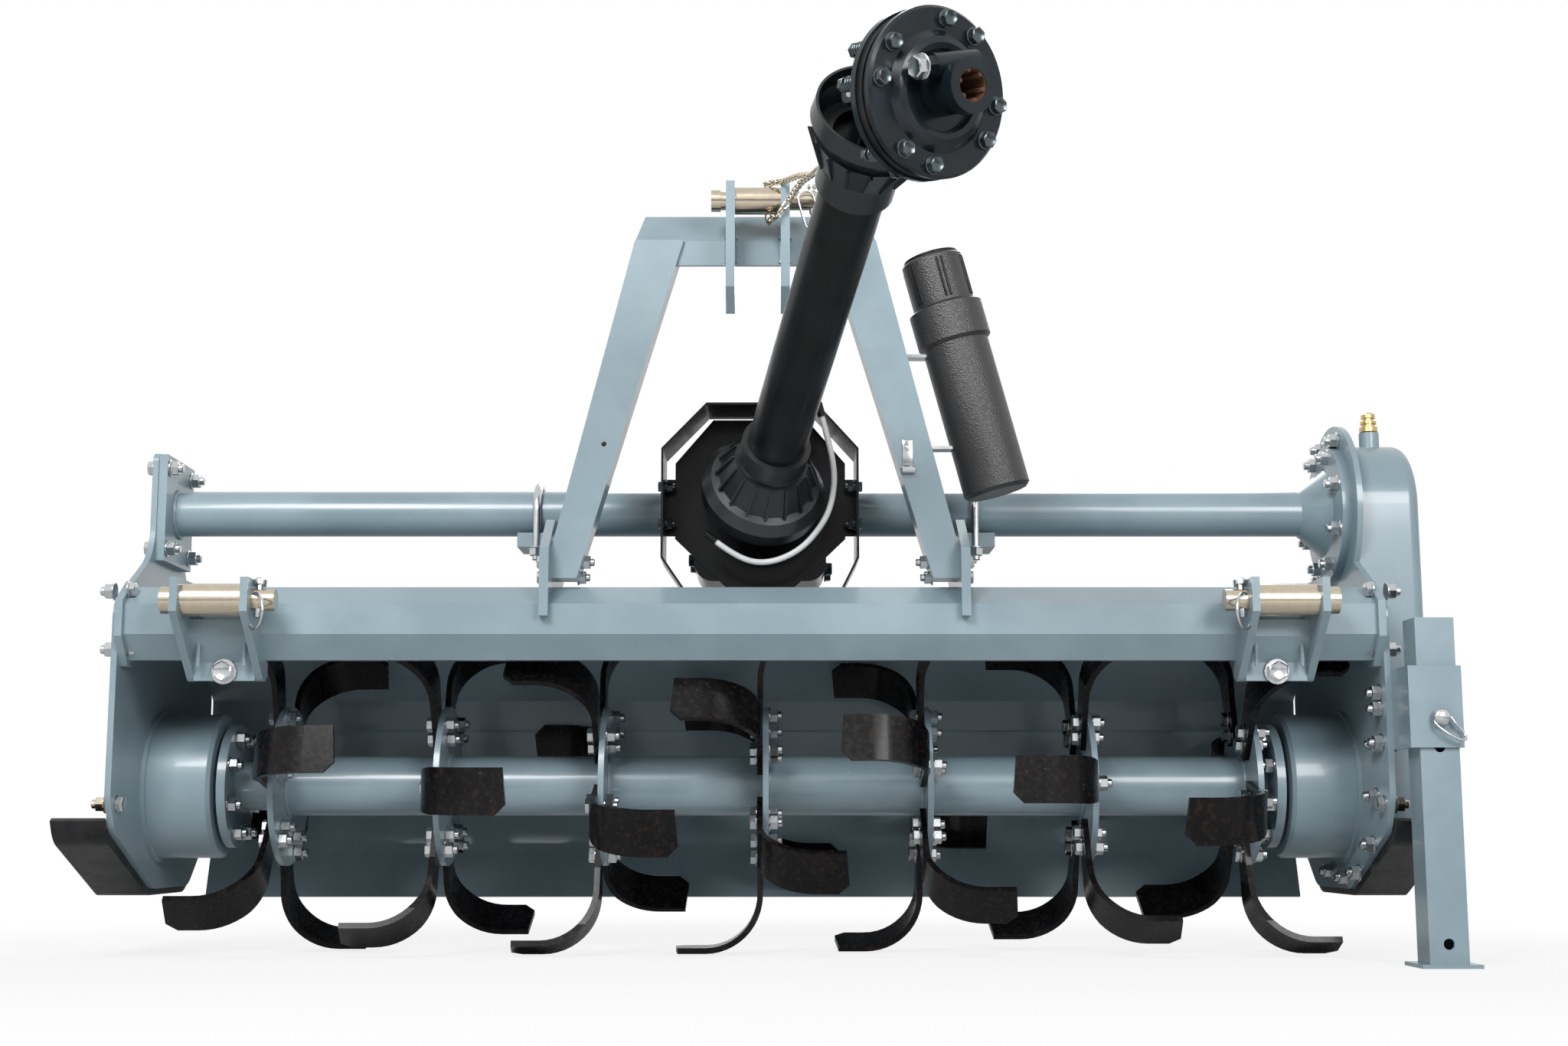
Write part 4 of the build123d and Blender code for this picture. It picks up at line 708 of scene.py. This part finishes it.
# U-bolts that hold the axle tubes on the carriers' pads, and the nuts under the pads
CLAMP_X, CLAMP_R, PAD_BELOW = 309.0, 38.5, 52.4
clamp = u_bolt(CLAMP_R, 6.0, 62.0)
clamp_places = [at(MAST_X + side * CLAMP_X, AXLE_Y, AXLE_Z) for side in SIDES]
copies(clamp, [Matrix.Translation(place) for place in clamp_places], "axle_clamps", "root", "zinc_plate", clear_zinc)
clamp_nuts = []
for place in clamp_places:
    for side in SIDES:
        clamp_nuts.append(aim(DOWN, RIGHT, place + Vector((0, side * CLAMP_R, -PAD_BELOW)) * MM))
copies(nut_m12, clamp_nuts, "axle_clamp_nuts", "root", "zinc_plate", clear_zinc)

# Gearbox: side plugs, rear cover's bolts and top cover's bolts, then the rear cover
GEARBOX_HALF, GEARBOX_TOP, COVER_BOLT_R = 92.0, 93.0, 56.0
PLUG_YS = (-30.0, 40.0)
gear_bolts = [facing(LEFT, GEARBOX_X - GEARBOX_HALF, y, 316.0) for y in PLUG_YS]
gear_bolts += [facing(RIGHT, GEARBOX_X + GEARBOX_HALF, y, 304.0) for y in PLUG_YS]
for turn in ring_of(6):
    across, height = COVER_BOLT_R * math.cos(turn), COVER_BOLT_R * math.sin(turn)
    gear_bolts.append(aim(REAR, UP, at(GEARBOX_X + across, 80.0, AXLE_Z + height)))
for x in (-66.0, 66.0):
    for y in (-44.0, 48.0):
        gear_bolts.append(facing(UP, GEARBOX_X + x, y, AXLE_Z + GEARBOX_TOP))
copies(bolt_m10, gear_bolts, "gearbox_bolts", "root", "black_paint", bolt_black)
rear_cover = lathe([(70.0, -1.0), (70.0, 5.0), (67.0, 6.0), (42.0, 6.0), (38.0, 14.0), (12.0, 14.0)], 48)
rear_place = facing(REAR, GEARBOX_X, 74.0, AXLE_Z)
copies(rear_cover, [rear_place], "gearbox_rear_cover", "root", "black_paint", gloss_black)

# Guard's side bolts
GUARD_T, GUARD_BOLT_Y, GUARD_BOLT_Z = 3.0, -96.0, 26.0
guard_bolts, guard_nuts = [], []
for side in SIDES:
    for end in SIDES:
        height = AXLE_Z + end * GUARD_BOLT_Z
        guard_bolts.append(facing((side, 0, 0), GEARBOX_X + side * GUARD_HALF, GUARD_BOLT_Y, height))
        guard_nuts.append(facing((-side, 0, 0), GEARBOX_X + side * (GUARD_HALF - GUARD_T), GUARD_BOLT_Y, height))
copies(bolt_m8, guard_bolts, "guard_bolts", "root", "zinc_plate", bolt_black)
copies(nut_m8, guard_nuts, "guard_nuts", "root", "zinc_plate", bolt_black)

# Bolt of the manual tube's upper tab, square to the leaning mast leg
tab_place = facing((1, 0, 0.26), 171.0, -200.0, 629.0)
copies(bolt_m8, [tab_place], "manual_tab_bolt", "root", "zinc_plate", clear_zinc)

# Plugged hole in the left mast leg
plug = lathe([(3.4, -0.5), (3.4, 0.3), (2.6, 0.5)], 16)
copies(plug, [facing(FRONT, -196.0, MAST_FRONT, 448.0)], "mast_leg_plug", "root", "black_plastic", soft_black)

# ---------------------------------------------------------------- welds of the frame

# Lugs on the mast, cheeks on the beam, the stand's pad on the right plate, and the left axle tube in its flange
CHEEK_OFF, CHEEK_SEAM_Y = 30.0, -242.5
seams = []
for face in (-LUG_GAP / 2 - LUG_T, -LUG_GAP / 2, LUG_GAP / 2, LUG_GAP / 2 + LUG_T):
    seams.append((at(LUG_X + face, -216.5, 698.0), at(LUG_X + face, -216.5, 728.0)))
    seams.append((at(LUG_X + face, -215.5, 731.0), at(LUG_X + face, -193.0, 756.0)))
for side in SIDES:
    for cheek in SIDES:
        cheek_x = side * HITCH_X + cheek * CHEEK_OFF
        seams.append((at(cheek_x, CHEEK_SEAM_Y, 150.0), at(cheek_x, CHEEK_SEAM_Y, 226.0)))
pad_x = PLATE_OUT + STAND_PAD_T + 0.5
seams.append((at(pad_x, -243.0, 46.0), at(pad_x, -243.0, 140.0)))
beads = [weld_bead(start, end, 3.2) for start, end in seams]
ring_bead = wire_loop(33.5, 3.5, 0.0, 36, 6)
ring_bead.data.transform(facing(RIGHT, -PLATE_IN + AXLE_FLANGE_T + 1.0, AXLE_Y, AXLE_Z))
welds = joined(ring_bead, *beads)
welds.name = "frame_welds"
dress(welds, "root", "grey_paint", weld_paint)

# ---------------------------------------------------------------- hitch pins' clips and the chain

# Round rings of the lower pins' lynch pins, and their pegs, through the pins' inner ends
PIN_REACH = 58.0
ring_places, peg_places = [], []
for side in SIDES:
    pin_end = at(side * (HITCH_X - PIN_REACH), -290.0, 231.0)
    ring_places.append(aim((side * 1.0, -0.75, 0.0), UP, pin_end + Vector((0, -16.0, -16.0)) * MM))
    peg_places.append(aim((0, 0.25, 1.0), RIGHT, pin_end))
lynch_ring = wire_loop(23.0, 2.3, 0.0, 28, 8)
lynch_peg = lathe([(3.0, -24.0), (5.0, -21.0), (5.0, 19.0), (8.5, 20.0), (9.0, 26.0), (6.0, 29.0)], 16)
copies(lynch_ring, ring_places, "lynch_rings", "root", "zinc_plate", clear_zinc)
copies(lynch_peg, peg_places, "lynch_pegs", "root", "zinc_plate", clear_zinc)

# Oval clip through the end of the top pin
top_clip = wire_loop(11.0, 1.7, 32.0, 24, 8)
clip_place = aim((0.15, -1.0, 0.0), (-0.28, 0.0, 1.0), at(78.0, -266.0, 757.0))
copies(top_clip, [clip_place], "top_pin_clip", "root", "zinc_plate", clear_zinc)
top_peg = lathe([(2.4, -20.0), (3.6, -18.0), (3.6, 17.0), (6.0, 18.0), (6.0, 22.0)], 14)
peg_place = facing((0, 0.1, 1.0), 82.0, -250.0, 775.0)
copies(top_peg, [peg_place], "top_pin_peg", "root", "zinc_plate", clear_zinc)

# Support chain from the top pin to the shield below the upper bell, in two pieces, because each bends across one joint
CHAIN_PITCH, LINK_R, LINK_WIRE = 11.0, 3.5, 1.5
CHAIN_PIN, CHAIN_MID, CHAIN_END = (22, -246, 800), (77, -480, 736), (84, -640, 693)
CHAIN_RUNS = {
    "support_chain": [
        [CHAIN_PIN, (43, -285, 791), (62, -400, 761), CHAIN_MID],
        [(26, -262, 744), (35, -284, 744), (50, -286, 762), (57, -350, 756), (66, -410, 750), CHAIN_MID],
        [(26, -262, 744), (24, -228, 752), (22, -222, 778), CHAIN_PIN],
    ],
    "support_chain_end": [[CHAIN_MID, CHAIN_END]],
}
link = wire_loop(LINK_R, LINK_WIRE, CHAIN_PITCH + 2 * LINK_WIRE - 2 * LINK_R, 12, 6)
for chain_name, runs in CHAIN_RUNS.items():
    link_places, quarter = [], 0
    for run in runs:
        left = 0.0
        for start, end in zip(run, run[1:]):
            start, end = at(*start), at(*end)
            along = (end - start).normalized()
            reach = (end - start).length
            side = along.cross(Vector(UP)).normalized()
            while left < reach:
                across = side if quarter % 2 else along.cross(side)
                link_places.append(aim((across + side * 0.35).normalized(), along, start + along * left))
                left += CHAIN_PITCH * MM
                quarter += 1
            left -= reach
    copies(link, link_places, chain_name, None, "zinc_plate", yellow_zinc)
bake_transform(bpy.data.objects["support_chain"])
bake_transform(bpy.data.objects["support_chain_end"])

# ---------------------------------------------------------------- stand's pin, breather and hose clip

stand_knob = lathe([(6.5, -2.0), (6.5, 6.0), (11.0, 6.5), (11.5, 8.5), (11.0, 11.0), (8.0, 14.0), (3.0, 15.0)], 24)
copies(stand_knob, [facing(FRONT, 876.0, -302.0, 80.0)], "stand_pin", "root", "zinc_plate", clear_zinc)
PIN_WIRE = [
    (868, -306, 82), (864, -312, 74), (876, -316, 62), (896, -316, 50), (906, -312, 52),
    (904, -308, 60), (892, -312, 72), (886, -308, 84), (880, -306, 88),
]
dress(bent_wire([at(*point) for point in PIN_WIRE], 1.8), "root", "zinc_plate", clear_zinc).name = "stand_pin_wire"

# Breather on the side case
breather = lathe([
    (13.0, -1.0), (13.0, 6.0), (9.0, 6.5), (9.0, 10.0), (11.5, 10.5), (11.5, 14.0),
    (7.5, 15.0), (7.5, 18.0), (10.0, 19.0), (10.0, 24.0), (6.0, 27.0),
], 12)
breather_place = Matrix.Translation(at(PLATE_OUT + 48.0, AXLE_Y, AXLE_Z + 120.0))
copies(breather, [breather_place], "case_breather", "root", "zinc_plate", brass)

# Hose clip on the right mast leg
clip = bevelled_plate(14.0, 2.0, 34.0, 0.9, 2, "clip_plate")
clip_roll = lathe([(4.5, -9.0), (5.0, -8.5), (5.0, 8.5), (4.5, 9.0)], 16)
clip_roll.data.transform(aim(RIGHT, UP, Vector((1.0, -4.0, -24.0)) * MM))
clip_rivet = lathe([(4.0, 0.0), (4.0, 1.6), (2.5, 2.6)], 14)
clip_rivet.data.transform(aim(FRONT, RIGHT, Vector((0.0, -1.0, 6.0)) * MM))
clip = joined(clip_roll, clip_rivet, clip)
clip.data.transform(Matrix.Translation(at(209.0, MAST_FRONT - 1.2, 436.0)))
clip.name = "hose_clip"
dress(clip, "root", "zinc_plate", clear_zinc)

# ---------------------------------------------------------------- driveline and slip clutch

clutch_side = clutch_dir.cross(tilt_axis).normalized()


def clutch_radial(turn):
    """Direction square to the clutch's axis, at an angle from the tilt axis."""
    return tilt_axis * math.cos(turn) + clutch_side * math.sin(turn)


# Four pairs of bolts, with their places along the clutch's axis from the upper joint
BOLT_RING, HEAD_AT, SPRING_AT, NUT_AT = 77.0, 104.0, 70.0, 45.5
PAIR_FIRST_DEG, PAIR_HALF_DEG = 3.0, 15.0
clutch_heads, clutch_springs, clutch_nuts = [], [], []
for pair in range(4):
    for half in SIDES:
        radial = clutch_radial(math.radians(PAIR_FIRST_DEG + 90.0 * pair + half * PAIR_HALF_DEG))
        off = radial * BOLT_RING
        clutch_heads.append(aim(clutch_dir, radial, upper_joint + (clutch_dir * HEAD_AT + off) * MM))
        clutch_springs.append(aim(-clutch_dir, radial, upper_joint + (clutch_dir * SPRING_AT + off) * MM))
        clutch_nuts.append(aim(-clutch_dir, radial, upper_joint + (clutch_dir * NUT_AT + off) * MM))
clutch_bolt = hex_head(15.5, 7.0, 10.0, 1.0)
clutch_nut = hex_head(14.5, 5.0, 8.0)
copies(clutch_bolt, clutch_heads, "clutch_bolt_heads", "clutch", "black_paint", bolt_black)
copies(clutch_nut, clutch_nuts, "clutch_bolt_nuts", "clutch", "black_paint", bolt_black)

SPRING_PITCH, SPRING_R, SPRING_WIRE = 4.5, 6.6, 1.9
bpy.ops.mesh.primitive_circle_add(
    vertices=8, radius=SPRING_WIRE * MM, location=(SPRING_R * MM, 0, 0), rotation=(math.radians(90), 0, 0)
)
spring = bpy.context.object
bpy.ops.object.transform_apply(location=True, rotation=True, scale=True)
coil = spring.modifiers.new("Coil", "SCREW")
coil.angle = math.tau
coil.screw_offset = SPRING_PITCH * MM
coil.iterations = 5
coil.steps = 12
coil.render_steps = 12
bpy.ops.object.modifier_apply(modifier="Coil")
bpy.ops.object.mode_set(mode="EDIT")
bpy.ops.mesh.select_all(action="SELECT")
bpy.ops.mesh.fill_holes(sides=0)
bpy.ops.mesh.select_all(action="SELECT")
bpy.ops.mesh.normals_make_consistent(inside=False)
spring = done(spring, "spring_master", 60.0)
copies(spring, clutch_springs, "clutch_springs", "clutch", "black_paint", bolt_black)
spring_core = lathe([(4.6, -1.0), (4.6, 26.0)], 12)
copies(spring_core, clutch_springs, "clutch_bolt_shanks", "clutch", "black_paint", bolt_black)

# Head of the hub's pinch bolt: how far the bolt lies along the axis and beside it, its turn and its head's reach
PINCH_AT, PINCH_OFF, PINCH_TURN, PINCH_HEAD = 134.0, 25.0, math.radians(33.5), 41.5
pinch_dir = Matrix.Rotation(PINCH_TURN, 3, clutch_dir) @ tilt_axis
pinch_mid = upper_joint + (clutch_dir * PINCH_AT + clutch_dir.cross(pinch_dir) * PINCH_OFF) * MM
pinch_head = hex_head(22.0, 9.0, 14.0, 1.0)
pinch_place = aim(-pinch_dir, clutch_dir, pinch_mid - pinch_dir * PINCH_HEAD * MM)
copies(pinch_head, [pinch_place], "pinch_bolt_head", "clutch", "zinc_plate", clear_zinc)

# Rusty splines in the hub's bore
HUB_END, KEY_R, LINING_R, LINING_LEN = 160.0, 16.2, 17.3, 54.0
hub_end = upper_joint + clutch_dir * HUB_END * MM
key = lathe([(2.6, -54.0), (3.2, -52.0), (3.2, -1.5), (2.4, 0.0)], 8)
key_places = []
for turn in ring_of(6, 12.0):
    radial = clutch_radial(turn)
    key_places.append(aim(clutch_dir, radial, hub_end - clutch_dir * 1.0 * MM + radial * KEY_R * MM))
copies(key, key_places, "hub_splines", "clutch", "bare_steel", rust)
bpy.ops.mesh.primitive_cylinder_add(
    vertices=40, radius=LINING_R * MM, depth=LINING_LEN * MM, end_fill_type="NOTHING", location=(0, 0, -28.0 * MM)
)
lining = bpy.context.object
lining_wall = lining.modifiers.new("Wall", "SOLIDIFY")
lining_wall.thickness = 0.6 * MM
lining_wall.offset = -1.0
bpy.ops.object.modifier_apply(modifier="Wall")
lining = done(lining, "lining_master")
copies(lining, [aim(clutch_dir, tilt_axis, hub_end)], "hub_lining", "clutch", "bare_steel", rust)

# Grease nipple of the upper cross
nipple = lathe([(4.5, -1.0), (4.5, 3.0), (2.6, 4.0), (2.6, 7.0), (3.6, 8.0), (3.2, 10.5), (1.6, 12.0)], 12)
nipple_place = aim(swing_axis, drive_dir, upper_joint + swing_axis * 16.0 * MM)
copies(nipple, [nipple_place], "upper_nipple", "cross_upper", "zinc_plate", clear_zinc)

# Grey tether clipped round the lower bell
TETHER = [
    (92, -244, 490), (100, -238, 462), (112, -230, 412), (109, -222, 372), (97, -212, 342),
    (66, -208, 306), (22, -208, 288), (-18, -207, 296), (-53, -204, 324),
]
tether = bent_wire([at(*point) for point in TETHER], 4.0, 10)
tether.name = "bell_tether"
dress(tether, "driveline", "black_plastic", grey_jacket)
hook = lathe([(5.4, -9.0), (5.4, 9.0), (4.6, 10.0)], 14)
tether_ends = ((TETHER[1], TETHER[0]), (TETHER[-2], TETHER[-1]))
hooks = [aim(Vector(last) - Vector(before), REAR, at(*last)) for before, last in tether_ends]
copies(hook, hooks, "tether_ends", "driveline", "black_plastic", soft_black)

# ---------------------------------------------------------------- manual tube

CAN_LEAN = math.radians(-14.9)
RIBS_AT, RIM_AT, RIB_R = 298.0, 335.0, 41.6
RIB_FIRST_DEG, RIB_HALF_DEG = -84.0, 4.5
can_dir = Vector((math.sin(CAN_LEAN), 0, math.cos(CAN_LEAN)))
can_out = Vector((can_dir.z, 0, -can_dir.x))
can_foot = at(331.0, -200.0, AXLE_Z)
rib = bevelled_plate(3.4, 2.4, 56.0, 1.1, 3, "rib_master")
rib_places = []
for k in range(6):
    for half in SIDES:
        turn = math.radians(RIB_FIRST_DEG + 60.0 * k + half * RIB_HALF_DEG)
        radial = can_out * math.cos(turn) + Vector(REAR) * math.sin(turn)
        rib_places.append(aim(can_dir, radial.cross(can_dir), can_foot + can_dir * RIBS_AT * MM + radial * RIB_R * MM))
copies(rib, rib_places, "manual_cap_ribs", "root", "black_plastic", soft_black)
cap_rim = wire_loop(35.0, 3.0, 0.0, 40, 8)
rim_place = aim(can_dir, can_out, can_foot + can_dir * RIM_AT * MM)
copies(cap_rim, [rim_place], "manual_cap_rim", "root", "black_plastic", soft_black)

drop(
    plug, bolt_m12, nut_m12, bolt_m10, nut_m10, bolt_m8, nut_m8, bolt_m16, ring_weld, clamp, rear_cover,
    lynch_ring, lynch_peg, top_clip, top_peg, link, stand_knob, breather, clutch_bolt, clutch_nut, pinch_head,
    spring, spring_core, key, lining, nipple, hook, rib, cap_rim,
)

# ---------------------------------------------------------------- stage, lamps and camera

bpy.ops.mesh.primitive_plane_add(size=40.0, location=(0, 0, 0))
floor = bpy.context.object
floor.name = "floor"
pale, pale_tree, pale_shader = finish_shader("PaleFloor", 0.9)
pale_shader.inputs["Base Color"].default_value = (0.7, 0.7, 0.7, 1.0)
light_path = pale_tree.nodes.new("ShaderNodeLightPath")
emission = pale_tree.nodes.new("ShaderNodeEmission")
emission.inputs["Color"].default_value = (1.0, 1.0, 1.0, 1.0)
emission.inputs["Strength"].default_value = 1.0

# To the camera the floor glows white, a little less near the machine so that its shade shows; else it is plain
FLOOR_NEAR, FLOOR_FAR = 0.83, 1.0
blend_shader = pale_tree.nodes.new("ShaderNodeMixShader")
pale_place = pale_tree.nodes.new("ShaderNodeTexCoord").outputs["Object"]
pale_far = pale_tree.nodes.new("ShaderNodeVectorMath")
pale_far.operation = "LENGTH"
pale_tree.links.new(pale_place, pale_far.inputs[0])
pale_reach = ramp(pale_tree, pale_far.outputs["Value"], 0.9, 1.9)
pale_white = math_node(pale_tree, "MULTIPLY_ADD", pale_reach, FLOOR_FAR - FLOOR_NEAR)
pale_white.node.inputs[2].default_value = FLOOR_NEAR
camera_share = math_node(pale_tree, "MULTIPLY", light_path.outputs["Is Camera Ray"], pale_white)
pale_tree.links.new(camera_share, blend_shader.inputs["Fac"])
pale_tree.links.new(pale_shader.outputs["BSDF"], blend_shader.inputs[1])
pale_tree.links.new(emission.outputs["Emission"], blend_shader.inputs[2])
pale_tree.links.new(blend_shader.outputs["Shader"], pale_tree.nodes["Material Output"].inputs["Surface"])
floor.data.materials.append(pale)

# White where it is seen or mirrored, dim as a source of light
WORLD_SEEN, WORLD_LIGHT = 1.0, 0.15
world = bpy.data.worlds.new("Studio")
bpy.context.scene.world = world
world.use_nodes = True
world_tree = world.node_tree
background = world_tree.nodes["Background"]
background.inputs["Color"].default_value = (1.0, 1.0, 1.0, 1.0)
world_path = world_tree.nodes.new("ShaderNodeLightPath")
seen = math_node(world_tree, "MAXIMUM", world_path.outputs["Is Camera Ray"], world_path.outputs["Is Glossy Ray"])
seen = math_node(world_tree, "MAXIMUM", seen, world_path.outputs["Is Transmission Ray"])
strength = math_node(world_tree, "MULTIPLY_ADD", seen, WORLD_SEEN - WORLD_LIGHT)
strength.node.inputs[2].default_value = WORLD_LIGHT
world_tree.links.new(strength, background.inputs["Strength"])


def lamp(name, place, target, size, watts):
    """Square area lamp that faces a target."""
    light = bpy.data.lights.new(name, "AREA")
    light.shape = "SQUARE"
    light.size = size
    light.energy = watts
    obj = bpy.data.objects.new(name, light)
    bpy.context.collection.objects.link(obj)
    obj.location = place
    obj.rotation_euler = (Vector(target) - Vector(place)).to_track_quat("-Z", "Y").to_euler()
    return obj


lamp("key", (-1.1, -2.5, 2.4), (0.0, 0.1, 0.55), 1.2, 100.0)
lamp("fill", (1.5, -2.7, 1.6), (0.0, 0.1, 0.5), 1.1, 55.0)
lamp("back", (0.5, 3.0, 2.6), (0.0, 0.2, 0.5), 2.0, 50.0)

# The photo's camera: focal length and shift in pixels of its 2048 pixel width
PHOTO_W, FOCAL_PX, SHIFT_PX, SENSOR = 2048.0, 2700.0, 18.0, 36.0
camera_data = bpy.data.cameras.new("camera")
camera_data.sensor_width = SENSOR
camera_data.lens = FOCAL_PX / PHOTO_W * SENSOR
camera_data.shift_x = SHIFT_PX / PHOTO_W
camera_data.clip_end = 100.0
camera = bpy.data.objects.new("camera", camera_data)
bpy.context.collection.objects.link(camera)
camera.location = at(26.0, -2934.0, -64.0)
camera.rotation_euler = (math.radians(98.5), 0.0, 0.0)
bpy.context.scene.camera = camera
bpy.context.scene.view_settings.view_transform = "Standard"
